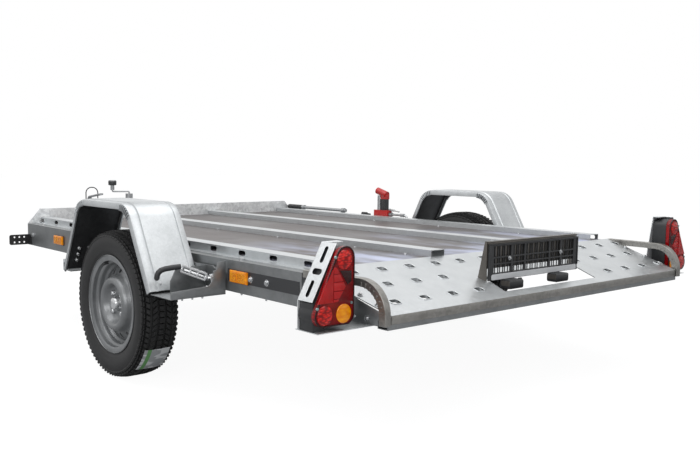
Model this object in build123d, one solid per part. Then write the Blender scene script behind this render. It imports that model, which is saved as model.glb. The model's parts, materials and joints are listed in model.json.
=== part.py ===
from build123d import *
import os
from math import atan2, cos, degrees, hypot, radians, sin

# Motorcycle trailer with a deck that lowers to the ground: the wheels ride on two outboard
# carriers that turn together on one cross shaft, and a hand-pumped cylinder swings them.
# Millimetres. X runs forward, Y to the left, Z up. The pieces are drawn from the ground point
# midway between the wheels, below their axles; the finished nodes are moved along X so that
# the origin is on the ground under the middle of the trailer's length.

# ---------------------------------------------------------------- driving dimensions
# Wheels
wheel_radius = 280.0
tyre_width = 152.0
tyre_wall = 11.0
rim_flange_radius = 182.0
rim_seat_radius = 166.0
rim_width = 128.0
rim_gauge = 3.0
wheel_half_track = 997.0
wheel_bolt_circle = 100.0
wheel_bolt_count = 4
vent_count = 14
hub_radius = 62.0
axle_radius = 17.0
running_clearance = 0.05

# Deck
deck_front = 1323.0
deck_rear = -914.0
deck_half_width = 877.0
step_width = 70.0
frame_bottom = 382.0
step_height = 490.0
rail_top = 520.0
sheet = 2.5
floor_thickness = 15.0
floor_rail_centre = 260.0
floor_rail_width = 70.0
edge_rail_width = 63.0
rail_slot_pitch = 180.0
rail_slot_length = 42.0
rail_slot_height = 18.0
front_wall_top = 564.0
member_flange = 48.0
fit_gap = 0.5

# Ramp and its surround
ramp_length = 320.0
ramp_rear_height = 400.0
ramp_half_width = 829.0
ramp_front_half_width = 858.0
ramp_gauge = 3.0
ramp_hole_length = 25.0
ramp_hole_width = 34.0
ramp_hole_pitch = 128.0
ramp_collar = 1.6
ramp_row_stations = (50.0, 146.0, 252.0)
ramp_row_starts = (713.0, 656.0, 732.0)
ramp_row_counts = (13, 12, 13)
cutout_front = 178.0
cutout_rear = 286.0
cutout_left = 256.0
cutout_right = -280.0
sill_height = 26.0
sill_depth = 40.0
hoop_width = 38.0
hoop_depth = 24.0
hoop_bend_radius = 98.0
hoop_foot = 358.0
crimp_count = 8
crimp_width = 3.0
crimp_depth = 5.0

# Lighting
lamp_face = -1165.0
lamp_depth = 55.0
lens_depth = 18.0
bracket_front = -1088.0
shelf_height = 364.0
lamp_inner_edge = 888.0
plate_width = 520.0
plate_height = 110.0
plate_holder_width = 540.0
plate_holder_height = 126.0
plate_station = -1128.0
plate_bottom = 436.0

# Wheel carriers and lowering gear
shaft_x = 440.0
shaft_z = 424.0
shaft_radius = 20.0
lower_angle = 30.0
lever_lean = 10.0
carrier_gap = 6.0
carrier_thickness = 10.0
carrier_height = 74.0
carrier_rear = -500.0
tray_height = 372.0
lever_length = 75.0
cylinder_rear_x = -20.0
cylinder_radius = 27.0
cylinder_bore = 20.0
rod_radius = 12.5
eye_slack = 3.4

# Fenders
fender_front_foot = 352.0
fender_rear_foot = -392.0
fender_front_corner = 214.0
fender_rear_corner = -172.0
fender_foot_height = 380.0
fender_top = 672.0
fender_bend_radius = 60.0
fender_inner = deck_half_width + carrier_gap + carrier_thickness
fender_outer = 1100.0
fender_lip = 24.0
fender_gauge = 2.0

# Drawbar and jockey wheel
drawbar_height = 70.0
drawbar_width = 50.0
drawbar_bottom = 402.0
drawbar_spread = 420.0
drawbar_nose = 2330.0
coupling_x = 2530.0
coupling_z = 478.0
ball_radius = 25.0
coupling_radius = 40.0
cable_x = 2410.0
cable_left = 57.0
cable_loop_width = 79.0
cable_top = 629.0
cable_radius = 3.5
jockey_x = 2180.0
jockey_y = -146.0
jockey_tube_radius = 24.0
jockey_wheel_radius = 100.0
jockey_travel = 130.0
jockey_tube_top = 592.0
jockey_crown = 227.5

deck_top = rail_top - 21.5
floor_bottom = deck_top - floor_thickness
step_inner = deck_half_width - step_width
deck_centre = (deck_front + deck_rear) / 2
deck_length = deck_front - deck_rear
ramp_rear = deck_rear - ramp_length
ramp_fall = deck_top - ramp_rear_height
ramp_slope = degrees(atan2(ramp_fall, ramp_length))
hoop_rear = ramp_rear - 6
origin_x = (hoop_rear + coupling_x + coupling_radius) / 2
LEFT, RIGHT = 1, -1
SIDES = {"left": LEFT, "right": RIGHT}


# ---------------------------------------------------------------- shared helpers
def ramp_z(x):
    """Height of the ramp's walking surface at a station x."""
    return deck_top - (deck_rear - x) * ramp_fall / ramp_length


def mirrored(shape, side):
    """The left-hand shape itself, or its mirror image for the right-hand side."""
    return shape if side == LEFT else mirror(shape, about=Plane.XZ)


def both(shape):
    """A left-hand shape and its mirror image, as one node of two solids."""
    return together(shape, mirror(shape, about=Plane.XZ))


def together(*shapes):
    """Like pieces that don't touch, as one node of several solids."""
    return Compound([solid for shape in shapes for solid in shape.solids()])


def block(x0, x1, y0, y1, z0, z1):
    """A box between two corners."""
    centre = Location(((x0 + x1) / 2, (y0 + y1) / 2, (z0 + z1) / 2))
    return centre * Box(abs(x1 - x0), abs(y1 - y0), abs(z1 - z0))


def rod(start, end, radius):
    """A round bar from one point to another."""
    start, end = Vector(*start), Vector(*end)
    axis = end - start
    return extrude(Plane(origin=start, z_dir=axis) * Circle(radius), axis.length)


def tube(start, end, radius, bore):
    return rod(start, end, radius) - rod(start, end, bore)


def sheet_section(points, plane, gauge, side=Side.RIGHT, fillet_radius=0.0):
    """The section of a bent sheet along a polyline of its outer face."""
    if fillet_radius:
        line = FilletPolyline(*points, radius=fillet_radius)
    else:
        line = Polyline(*points)
    return plane * make_face(offset_open(line, gauge, side))


def offset_open(line, gauge, side):
    outline = offset(line, amount=gauge, side=side, kind=Kind.INTERSECTION, closed=True)
    return outline.edges()


def bolt_head(position, axis, radius=6.5, height=5.0):
    """A hexagon head standing on a face."""
    plane = Plane(origin=position, z_dir=axis)
    return extrude(plane * RegularPolygon(radius, 6), height)


# ---------------------------------------------------------------- deck frame
def side_member():
    """Folded C-profile that closes the deck's flank, with its rear end plated."""
    top = step_height
    profile = [
        (deck_half_width - member_flange, frame_bottom),
        (deck_half_width, frame_bottom),
        (deck_half_width, top),
        (step_inner - 6, top),
    ]
    section = sheet_section(profile, Plane.YZ.offset(deck_rear), sheet, Side.LEFT)
    member = extrude(section, deck_length - sheet)
    end_plate = block(
        deck_rear, deck_rear + sheet,
        deck_half_width - member_flange, deck_half_width - sheet,
        frame_bottom + sheet, top - sheet,
    )
    bearing_hole = rod(
        (shaft_x, deck_half_width - 10, shaft_z),
        (shaft_x, deck_half_width + 10, shaft_z),
        shaft_radius + 8.0,
    )
    return member + end_plate - bearing_hole


def edge_rail():
    """Slotted floor rail on the step: foot, web, tread and a lip down onto the floor."""
    profile = [
        (step_inner + 34, step_height),
        (step_inner + 34, step_height + sheet),
        (step_inner, step_height + sheet),
        (step_inner, rail_top),
        (step_inner - edge_rail_width, rail_top),
        (step_inner - edge_rail_width, deck_top + 0.2),
        (step_inner - edge_rail_width + sheet, deck_top + 0.2),
        (step_inner - edge_rail_width + sheet, rail_top - sheet),
        (step_inner - sheet, rail_top - sheet),
        (step_inner - sheet, step_height),
    ]
    section = Plane.YZ.offset(deck_rear + 20) * make_face(Polyline(*profile, close=True))
    rail = extrude(section, deck_length - 20 - sheet - 4)
    slot = Plane.XZ * SlotOverall(rail_slot_length, rail_slot_height)
    slot_count = int((deck_length - 60) // rail_slot_pitch) + 1
    first = deck_rear + 54
    for index in range(slot_count):
        at = Location((first + index * rail_slot_pitch, step_inner + 5, (step_height + rail_top) / 2))
        rail -= extrude(at * slot, 20, both=True)
    return rail


def floor_rail():
    """Inverted channel between two floor panels, on the cross members."""
    outer = floor_rail_centre + floor_rail_width / 2
    inner = floor_rail_centre - floor_rail_width / 2
    body = block(deck_rear, deck_front - sheet - 4, inner, outer, floor_bottom, rail_top)
    hollow = block(
        deck_rear - 1, deck_front,
        inner + sheet, outer - sheet,
        floor_bottom - 1, rail_top - sheet,
    )
    return body - hollow


def floor_panels():
    """Three film-faced plywood panels between the rails."""
    rail_outer = floor_rail_centre + floor_rail_width / 2 + fit_gap
    rail_inner = floor_rail_centre - floor_rail_width / 2 - fit_gap
    front = deck_front - sheet - fit_gap
    side = block(deck_rear, front, rail_outer, step_inner - 7, floor_bottom, deck_top)
    middle = block(deck_rear, front, -rail_inner, rail_inner, floor_bottom, deck_top)
    return together(both(side), middle)


def front_wall():
    """Upright front sheet with its corners sloped down to the steps and a folded rim."""
    outline = [
        (-deck_half_width, frame_bottom),
        (deck_half_width, frame_bottom),
        (deck_half_width, step_height),
        (step_inner + 4, front_wall_top),
        (-step_inner - 4, front_wall_top),
        (-deck_half_width, step_height),
    ]
    plane = Plane.YZ.offset(deck_front - sheet)
    wall = extrude(plane * make_face(Polyline(*outline, close=True)), sheet)
    rim = block(
        deck_front, deck_front + 18,
        -step_inner, step_inner,
        front_wall_top - sheet, front_wall_top,
    )
    lip = block(
        deck_front + 18 - sheet, deck_front + 18,
        -step_inner, step_inner,
        front_wall_top - 14, front_wall_top - sheet,
    )
    return wall + rim + lip


def cross_member(x, opens_to, height=None):
    """C-profile across the deck, under the floor; opens_to is +1 forward or -1 rearward."""
    half = deck_half_width - sheet - fit_gap
    bottom = floor_bottom - (height or floor_bottom - frame_bottom - sheet - fit_gap)
    web = block(x, x + opens_to * sheet, -half, half, bottom, floor_bottom)
    top = block(x, x + opens_to * member_flange, -step_inner, step_inner,
                floor_bottom - sheet, floor_bottom)
    low = block(x, x + opens_to * member_flange, -half, half, bottom, bottom + sheet)
    notch_free = web + top + low
    for side in (LEFT, RIGHT):
        notch_free -= block(
            x - opens_to * 60, x + opens_to * 60,
            side * (step_inner - 6 - fit_gap), side * (deck_half_width + 5),
            step_height - sheet - fit_gap, floor_bottom + 20,
        )
    return notch_free


def cylinder_member():
    """Middle cross member with the two lugs that hold the lift cylinder's rear eye."""
    x = cylinder_rear_x - 60
    member = cross_member(x, -1)
    for side in (LEFT, RIGHT):
        y = side * (cylinder_radius + 4)
        lug_outline = [
            (x, floor_bottom - 30),
            (x, shaft_pin_height() - 26),
            (cylinder_rear_x + 18, shaft_pin_height() - 26),
            (cylinder_rear_x + 18, shaft_pin_height() + 20),
        ]
        plane = Plane.XZ.offset(-y)
        lug = extrude(plane * make_face(Polyline(*lug_outline, close=True)), -side * 6)
        member += lug
    pin_hole = rod(
        (cylinder_rear_x, -60, shaft_pin_height()),
        (cylinder_rear_x, 60, shaft_pin_height()),
        8.0 + running_clearance,
    )
    return member - pin_hole


def shaft_pin_height():
    """Height of the lift cylinder's axis at rest."""
    return shaft_z - lever_length * cos(radians(lever_lean))


def shaft_bearing():
    """Flanged bush in the side member that the cross shaft turns in."""
    inner = deck_half_width - 42
    body = rod((shaft_x, inner, shaft_z), (shaft_x, deck_half_width, shaft_z), shaft_radius + 8.0)
    flange = rod(
        (shaft_x, deck_half_width, shaft_z),
        (shaft_x, deck_half_width + 3, shaft_z),
        shaft_radius + 14.0,
    )
    bore = rod(
        (shaft_x, inner - 1, shaft_z),
        (shaft_x, deck_half_width + 5, shaft_z),
        shaft_radius + running_clearance,
    )
    return body + flange - bore


# ---------------------------------------------------------------- ramp and rear end
def ramp_plate():
    """Sloped tread sheet with punched, collared grip holes and the number plate's cut-out."""
    plane = Plane(
        origin=(deck_rear, 0, deck_top),
        x_dir=(-ramp_length, 0, -ramp_fall),
        z_dir=(-ramp_fall, 0, ramp_length),
    )
    run = hypot(ramp_length, ramp_fall)
    scale = run / ramp_length
    sheet_face = make_face(Polyline(
        (0, -ramp_front_half_width),
        (run, -ramp_half_width),
        (run, ramp_half_width),
        (0, ramp_front_half_width),
        close=True,
    ))
    notch = make_face(Polyline(
        (cutout_front * scale, cutout_left - 22),
        (cutout_rear * scale, cutout_left),
        (cutout_rear * scale, cutout_right),
        (cutout_front * scale, cutout_right - 22),
        close=True,
    ))
    notch = fillet(notch.vertices(), 6.0)
    plate = extrude(plane * (sheet_face - notch), -ramp_gauge)
    plate -= block(deck_rear, deck_rear + 20, -1000, 1000, deck_top - 20, deck_top + 20)
    rear_fold = block(
        ramp_rear, ramp_rear + ramp_gauge,
        -ramp_half_width, ramp_half_width,
        ramp_rear_height - sill_height, ramp_rear_height - 1,
    )
    grip_hole = RectangleRounded(ramp_hole_length, ramp_hole_width, 8.0)
    collar = RectangleRounded(ramp_hole_length + 5, ramp_hole_width + 5, 10.0)
    collars = []
    holes = []
    for station, start, count in zip(ramp_row_stations, ramp_row_starts, ramp_row_counts):
        for index in range(count):
            across = start - index * ramp_hole_pitch
            margin = ramp_hole_width
            beside_cutout = cutout_right - margin < across < cutout_left + margin
            if station > cutout_front - 60 and beside_cutout:
                continue
            spot = plane * Location((station * scale, across, 0))
            collars.append(extrude(spot * collar, ramp_collar))
            holes.append(extrude(spot * grip_hole, 10, both=True))
    return (plate + rear_fold).fuse(*collars).cut(*holes)


def ramp_sill():
    """Box section across the back that the ramp rests on and the hoops stand beside."""
    top = ramp_rear_height - 16
    half = ramp_half_width - ramp_gauge
    outer = block(ramp_rear + ramp_gauge, ramp_rear + ramp_gauge + sill_depth,
                  -half, half, top - sill_height, top - 2)
    inner = block(ramp_rear + ramp_gauge + sheet, ramp_rear + ramp_gauge + sill_depth - sheet,
                  -half - 1, half + 1, top - sill_height + sheet, top - 2 - sheet)
    return outer - inner


def ramp_cheek():
    """Tapered side plate under the ramp's edge, with a foot flange turned inwards."""
    rear = ramp_rear + 50
    y = ramp_half_width
    outline = [
        (deck_rear, ramp_z(deck_rear) - ramp_gauge - 1),
        (rear, ramp_z(rear) - ramp_gauge - 1),
        (rear, shelf_height + sheet),
        (deck_rear, shelf_height + sheet),
    ]
    plate = extrude(Plane.XZ.offset(-y) * make_face(Polyline(*outline, close=True)), sheet)
    foot = block(rear, deck_rear, y - 28, y, shelf_height, shelf_height + sheet)
    return plate + foot


def guard_hoop():
    """Bent channel that runs back from the deck's corner and turns down to the rear sill."""
    y = ramp_half_width + 5
    outer_x = hoop_rear
    path = FilletPolyline(
        (deck_rear, 0, deck_top),
        (outer_x, 0, deck_top),
        (outer_x, 0, hoop_foot),
        radius=hoop_bend_radius,
    )
    path = Location((0, y, 0)) * path
    half = hoop_width / 2
    profile = [
        (-half, -hoop_depth),
        (-half, 0),
        (half, 0),
        (half, -hoop_depth),
        (half - sheet, -hoop_depth),
        (half - sheet, -sheet),
        (-half + sheet, -sheet),
        (-half + sheet, -hoop_depth),
    ]
    plane = Plane(origin=(deck_rear, y, deck_top), x_dir=(0, 1, 0), z_dir=(-1, 0, 0))
    section = plane * make_face(Polyline(*profile, close=True))
    hoop = sweep(section, path)
    centre_x = outer_x + hoop_bend_radius
    centre_z = deck_top - hoop_bend_radius
    inner = hoop_bend_radius - hoop_depth
    notches = []
    for index in range(crimp_count):
        turn = 90.0 * (index + 0.5) / crimp_count
        spot = Location((centre_x, y, centre_z), (0, turn - 90, 0)) * Location((0, 0, inner))
        notches.append(spot * Box(crimp_width, hoop_width + 4, crimp_depth * 2))
    return hoop.cut(*notches)


# ---------------------------------------------------------------- lamps and number plate
def lens_outline(grow=0.0):
    """Rounded triangle of a tail lamp, in the YZ plane, for the left side."""
    corners = [
        (lamp_inner_edge + 33, 561, 33),
        (lamp_inner_edge + 26, 402, 26),
        (lamp_inner_edge + 115, 404, 30),
    ]
    rounds = Sketch() + [Location((y, z, 0)) * Circle(r + grow) for y, z, r in corners]
    return make_hull(rounds.edges())


def tail_lamp_lens():
    plane = Plane.YZ.offset(lamp_face)
    lens = extrude(plane * lens_outline(), lens_depth)
    rim_edges = lens.edges().group_by(Axis.X)[0]
    return fillet(rim_edges, 4.0)


def tail_lamp_housing():
    plane = Plane.YZ.offset(lamp_face + lens_depth)
    depth = bracket_front - sheet - (lamp_face + lens_depth)
    return extrude(plane * lens_outline(-1.5), depth)


def lamp_bracket():
    """Folded lamp carrier: back plate, shelf below, short top and a slotted outer wing."""
    y_in = ramp_half_width + 24
    wing_top = (945.0, 601.0)
    wing_foot = (1031.0, 445.0)
    outline = [
        (y_in, shelf_height),
        (wing_foot[0], shelf_height),
        wing_foot,
        wing_top,
        (lamp_inner_edge, wing_top[1]),
    ]
    plane = Plane.YZ.offset(bracket_front - sheet)
    back = extrude(plane * make_face(Polyline(*outline, close=True)), sheet)
    shelf = block(lamp_face + 2, bracket_front, ramp_half_width, wing_foot[0] - 18,
                  shelf_height - sheet, shelf_height)
    top = block(bracket_front - 30, bracket_front, lamp_inner_edge, wing_top[0],
                wing_top[1] - sheet, wing_top[1])
    wing_length = hypot(wing_foot[0] - wing_top[0], wing_foot[1] - wing_top[1])
    wing_plane = Plane(
        origin=(bracket_front, *wing_top),
        x_dir=(0, wing_foot[0] - wing_top[0], wing_foot[1] - wing_top[1]),
        z_dir=(0, wing_top[1] - wing_foot[1], wing_foot[0] - wing_top[0]),
    )
    wing_depth = 62.0
    wing_face = Rectangle(wing_length, wing_depth, align=(Align.MIN, Align.MAX))
    if (wing_plane * Location((0, -wing_depth, 0))).position.X > bracket_front:
        wing_face = Rectangle(wing_length, wing_depth, align=(Align.MIN, Align.MIN))
    middle = -wing_depth / 2 if wing_plane.y_dir.X > 0 else wing_depth / 2
    slots = [
        Location((wing_length * 0.21, middle, 0)) * SlotOverall(46, 13),
        Location((wing_length * 0.50, middle, 0)) * SlotOverall(36, 14, rotation=90),
        Location((wing_length * 0.79, middle, 0)) * SlotOverall(46, 13),
    ]
    for slot in slots:
        wing_face -= slot
    wing = extrude(wing_plane * wing_face, -sheet)
    return back + shelf + top + wing


def plate_bracket():
    """Sheet box on the ramp that carries the number plate's holder."""
    half = plate_holder_width / 2
    top = plate_bottom + plate_holder_height + 12
    front = plate_station + 38
    foot = plate_bottom - 2
    back = block(plate_station, plate_station + 2, -half, half, foot, top)
    roof = block(plate_station, plate_station + 22, -half, half, top - 2, top)
    ledge = block(plate_station - 12, plate_station + 2, -half, half, foot, plate_bottom)
    body = back + roof + ledge
    seat = 0.3
    outline = [
        (plate_station, top),
        (plate_station + 22, top),
        (front + 10, ramp_z(front + 10) + seat),
        (plate_station, ramp_z(plate_station) + seat),
    ]
    for side in (LEFT, RIGHT):
        plane = Plane.XZ.offset(-side * half)
        body += extrude(plane * make_face(Polyline(*outline, close=True)), side * 2)
    return body


def plate_holder():
    """Openwork plastic frame for a blank number plate, with a plain strip along the foot."""
    half_w = plate_holder_width / 2
    rear = plate_station - 12
    z0, z1 = plate_bottom, plate_bottom + plate_holder_height
    slab = block(rear, plate_station, -half_w, half_w, z0, z1)
    slab = fillet(slab.edges().filter_by(Axis.X), 6.0)
    pocket = block(rear - 1, rear + 4, -plate_width / 2, plate_width / 2, z0 + 22, z1 - 4)
    slab -= pocket
    columns = 6
    rows = 2
    pitch = plate_width / columns
    band = (plate_holder_height - 30) / rows
    windows = []
    for column in range(columns):
        for row in range(rows):
            y = -plate_width / 2 + (column + 0.5) * pitch
            z = z0 + 24 + (row + 0.5) * band
            windows.append(block(rear - 2, plate_station + 1, y - pitch / 2 + 6, y + pitch / 2 - 6,
                                 z - band / 2 + 4, z + band / 2 - 4))
    slab = slab.cut(*windows)
    ribs = []
    for column in range(columns):
        y = -plate_width / 2 + (column + 0.5) * pitch
        for shift in (-20, 0, 20):
            ribs.append(block(plate_station - 5, plate_station - 1, y + shift - 2, y + shift + 2,
                              z0 + 22, z1 - 5))
    return slab.fuse(*ribs)


def plate_lamp():
    """Small downlighter hung below the number plate."""
    hang = plate_bottom - 2.3
    body = block(plate_station - 52, plate_station, 100, 190, hang - 32, hang)
    body = fillet(body.edges().filter_by(Axis.Y), 8.0)
    return body


def side_marker(x_front, length=98.0):
    """Amber marker lamp on the side member's face."""
    y = deck_half_width
    lamp = block(x_front - length, x_front, y, y + 12, 417, 458)
    outer = lamp.edges().group_by(Axis.Y)[-1]
    return fillet(outer, 4.0)


def side_markers():
    front = side_marker(961)
    rear = side_marker(-542)
    return together(both(front), both(rear))


def front_outrigger():
    """Perforated strap that reaches out from the front corner."""
    y0, y1 = deck_half_width, deck_half_width + 102
    x = deck_front - 14
    arm = block(x - 3, x, y0, y1, 384, 436)
    arm = fillet(arm.edges().filter_by(Axis.X).group_by(Axis.Y)[-1], 10.0)
    foot = block(x - 40, x, y0, y0 + 3, 384, 436)
    arm += foot
    for y in (y0 + 26, y0 + 51, y0 + 76):
        for z in (397, 423):
            arm -= rod((x - 10, y, z), (x + 10, y, z), 4.5)
    return arm


# ---------------------------------------------------------------- wheel carriers
def carrier_inner():
    return deck_half_width + carrier_gap


def cross_shaft():
    """Solid shaft through both side members, with the lift lever at its middle."""
    end = carrier_inner() + carrier_thickness
    shaft = rod((shaft_x, -end, shaft_z), (shaft_x, end, shaft_z), shaft_radius)
    tip = lever_tip()
    for side in (LEFT, RIGHT):
        plane = Plane.XZ.offset(-side * 20)
        ring = Location((shaft_x, shaft_z)) * Circle(shaft_radius + 12)
        eye = Location((tip[0], tip[1])) * Circle(18)
        web = make_hull((Sketch() + [ring, eye]).edges())
        cheek = extrude(plane * web, -side * 8)
        shaft += cheek
    pin = rod((tip[0], -34, tip[1]), (tip[0], 34, tip[1]), 8.0)
    return shaft + pin


def carrier_arm():
    """Cut plate beside the deck: eye on the cross shaft, drop for the axle, tail at the latch."""
    y0 = carrier_inner()
    y1 = y0 + carrier_thickness
    z0 = shaft_z - carrier_height / 2
    z1 = shaft_z + carrier_height / 2
    drop = wheel_radius - 36
    outline = [
        (shaft_x, z0),
        (170, z0),
        (52, drop),
        (-52, drop),
        (-170, z0),
        (carrier_rear, z0),
        (carrier_rear, z1 - 20),
        (carrier_rear + 60, z1),
        (shaft_x, z1),
    ]
    face = make_face(Polyline(*outline, close=True))
    face = fillet(face.vertices().group_by(Axis.Y)[0], 30.0)
    face += Location((shaft_x, shaft_z)) * Circle(carrier_height / 2)
    for x in (-330, -215, 215, 330):
        face -= Location((x, shaft_z)) * Circle(18)
    face -= Location((0, shaft_z - 24)) * SlotOverall(150, 44)
    face -= Location((shaft_x, shaft_z)) * Circle(shaft_radius)
    face -= Location((0, wheel_radius)) * Circle(axle_radius + 4)
    return extrude(Plane.XZ.offset(-y0) * face, -carrier_thickness)


def axle_stub():
    """Stub axle pressed through the carrier, with its shoulder and end nut."""
    y0 = carrier_inner()
    seat = y0 + carrier_thickness
    root = rod((0, y0, wheel_radius), (0, seat, wheel_radius), axle_radius + 4)
    shoulder = rod((0, seat, wheel_radius), (0, seat + 10, wheel_radius), axle_radius + 14)
    spindle = rod((0, seat, wheel_radius), (0, hub_outer() + 12, wheel_radius), axle_radius)
    return root + shoulder + spindle


def hub_outer():
    return wheel_half_track + 26


def fender_path():
    return FilletPolyline(
        (fender_front_foot, fender_foot_height),
        (fender_front_corner, fender_top),
        (fender_rear_corner, fender_top),
        (fender_rear_foot, fender_foot_height),
        radius=fender_bend_radius,
    )


def fender():
    """Angular arch folded from sheet: tread face, two bent-in lips and a raised centre panel."""
    path = Plane.XZ * fender_path()
    start = path @ 0
    heading = path % 0
    plane = Plane(origin=(start.X, 0, start.Z), x_dir=(0, 1, 0), z_dir=heading)
    out = 1 if plane.y_dir.X > 0 else -1
    t = fender_gauge
    profile = [
        (fender_inner, -out * fender_lip),
        (fender_inner, 0),
        (fender_outer, 0),
        (fender_outer, -out * fender_lip),
        (fender_outer - t, -out * fender_lip),
        (fender_outer - t, -out * t),
        (fender_inner + t, -out * t),
        (fender_inner + t, -out * fender_lip),
    ]
    shell = sweep(plane * make_face(Polyline(*profile, close=True)), path, transition=Transition.ROUND)
    width = fender_outer - fender_inner
    pad = [
        (fender_inner + 0.17 * width, -out * t / 2),
        (fender_inner + 0.17 * width, out * 2.0),
        (fender_inner + 0.83 * width, out * 2.0),
        (fender_inner + 0.83 * width, -out * t / 2),
    ]
    pad_solid = sweep(plane * make_face(Polyline(*pad, close=True)), path)
    trim_low = block(-900, 900, 800, 1200, 0, fender_foot_height + 62)
    pad_solid -= trim_low
    return shell + pad_solid


def fender_bracket_front():
    """Folded bracket from the carrier beam to the fender's front foot."""
    y0 = carrier_inner() + carrier_thickness
    y1 = fender_outer - 30
    x1 = fender_front_foot + 62
    foot = block(fender_front_foot - 12, x1, y0, y1, fender_foot_height - 14, fender_foot_height - 11)
    upright = block(x1 - 3, x1, y0, y1, fender_foot_height - 14, fender_foot_height + 16)
    return foot + upright


def latch_tray():
    """Folded tray from the carrier beam to the fender's rear foot, with a tall ear at the deck."""
    y0 = carrier_inner()
    y1 = fender_outer - 12
    x_front = fender_rear_foot - 2
    bottom = tray_height
    floor = block(carrier_rear, x_front, y0, y1, bottom - sheet, bottom)
    ear_outline = [
        (y0, bottom - sheet),
        (y1, bottom - sheet),
        (y1, bottom + 26),
        (y0 + 62, bottom + 34),
        (y0 + 36, bottom + 62),
        (y0 + 32, bottom + 108),
        (y0, bottom + 112),
    ]
    ear_face = make_face(Polyline(*ear_outline, close=True))
    ear = extrude(Plane.YZ.offset(carrier_rear - sheet) * ear_face, sheet)
    front_outline = [
        (y0 + carrier_thickness, bottom),
        (y1 - 60, bottom),
        (y1 - 60, bottom + 44),
        (y1 - 84, bottom + 92),
        (y0 + carrier_thickness, bottom + 92),
    ]
    front_face = make_face(Polyline(*front_outline, close=True))
    front = extrude(Plane.YZ.offset(x_front - 14) * front_face, sheet)
    return floor + ear + front


def toggle_latch():
    """Over-centre latch lying across the tray: base channel, draw frame and hook."""
    start = (-430.0, 1040.0, 482.0)
    end = (-472.0, 905.0, 440.0)
    axis = Vector(*end) - Vector(*start)
    plane = Plane(origin=start, x_dir=(-1, 0, 0), z_dir=axis)
    body = extrude(plane * RectangleRounded(34, 26, 4), axis.length * 0.8)
    slot = extrude(plane.offset(8) * Rectangle(22, 40), axis.length * 0.28)
    slot2 = extrude(plane.offset(8 + axis.length * 0.36) * Rectangle(22, 40), axis.length * 0.28)
    hook_start = Vector(*start) + axis * 0.78
    hook = rod(tuple(hook_start), end, 6.0)
    bend = Location(end) * Sphere(6.0)
    ear_face = carrier_rear + 0.3
    shank = rod(end, (ear_face + 3, end[1], end[2]), 6.0)
    foot = block(ear_face, ear_face + 4, carrier_inner() + carrier_thickness + 1, end[1] + 14,
                 end[2] - 16, end[2] + 16)
    return body - slot - slot2 + hook + bend + shank + foot


def latch_grip():
    """Rubber-covered lever of the latch, resting along the fender's foot."""
    path = FilletPolyline(
        (-398, 1078, 432),
        (-408, 1072, 468),
        (-430, 1040, 484),
        radius=14,
    )
    start = path @ 0
    section = Plane(origin=start, z_dir=path % 0) * Circle(11)
    return sweep(section, path)


def position_lamp():
    """White front marker lamp under the front foot of a fender."""
    x0 = fender_front_foot + 62
    lamp = block(x0, x0 + 26, 1000, 1062, 364, 408)
    return fillet(lamp.edges().group_by(Axis.X)[-1], 5.0)


# ---------------------------------------------------------------- lift cylinder
def lever_tip():
    """Centre of the lever's pin at rest, in X and Z."""
    return (shaft_x + lever_length * sin(radians(lever_lean)), shaft_pin_height())


def lift_cylinder():
    z = shaft_pin_height()
    x0 = cylinder_rear_x
    barrel_front = x0 + 320
    barrel = rod((x0 + 12, 0, z), (barrel_front, 0, z), cylinder_radius)
    eye = rod((x0, -15, z), (x0, 15, z), 20)
    bore = rod((x0 + 40, 0, z), (barrel_front + 1, 0, z), rod_radius + running_clearance)
    pin = rod((x0, -cylinder_radius - 12, z), (x0, cylinder_radius + 12, z), 8.0)
    port = rod((x0 + 60, 0, z + cylinder_radius - 4), (x0 + 60, 0, z + cylinder_radius + 16), 8.0)
    return barrel + eye - bore + pin + port


def lift_rod():
    tip_x, z = lever_tip()
    shank = rod((cylinder_rear_x + 180, 0, z), (tip_x - 14, 0, z), rod_radius)
    eye = rod((tip_x, -15, z), (tip_x, 15, z), 21)
    hole = rod((tip_x, -20, z), (tip_x, 20, z), 8.0 + eye_slack)
    return shank + eye - hole


# ---------------------------------------------------------------- wheels
def ring(points, axis_y, height):
    """Solid of revolution about a wheel's axle from (offset, radius) points."""
    outline = [(radius, offset) for offset, radius in points]
    plane = Plane(origin=(0, axis_y, height), x_dir=(1, 0, 0), z_dir=(0, 0, 1))
    face = plane * make_face(Polyline(*outline, close=True))
    return revolve(face, Axis((0, axis_y, height), (0, 1, 0)), 360)


def rim_line():
    """Centre line of the rim's section: flanges, bead seats and drop centre."""
    edge = (rim_width - rim_gauge) / 2
    seat = rim_seat_radius
    return FilletPolyline(
        (rim_flange_radius, -edge),
        (seat, -edge),
        (seat - 2, -edge + 20),
        (seat - 20, -edge + 32),
        (seat - 20, edge - 56),
        (seat - 2, edge - 38),
        (seat, edge),
        (rim_flange_radius, edge),
        radius=5,
    )


def tyre():
    """Hollow tyre with square shoulders, bulged walls and beads on the rim."""
    half = tyre_width / 2
    flange_face = rim_width / 2 - rim_gauge - 0.3
    seat = rim_seat_radius + rim_gauge / 2 + 0.3
    w = tyre_wall
    right_wall = [
        (flange_face - 6, seat),
        (flange_face, seat + 6),
        (flange_face, rim_flange_radius + 3),
        (half - 3, 214),
        (half, 232),
        (half - 6, 258),
        (half - 22, wheel_radius - 6),
        (half - 40, wheel_radius),
    ]
    right_inside = [
        (half - w - 20, wheel_radius - w),
        (half - w - 12, wheel_radius - w - 8),
        (half - w, 226),
        (flange_face - w, 196),
        (flange_face - w, seat + 0.6),
    ]
    outer = right_wall + [(-offset, radius) for offset, radius in reversed(right_wall)]
    left_inside = [(-offset, radius) for offset, radius in reversed(right_inside)]
    return ring(outer + left_inside + right_inside, wheel_half_track, wheel_radius)


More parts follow.
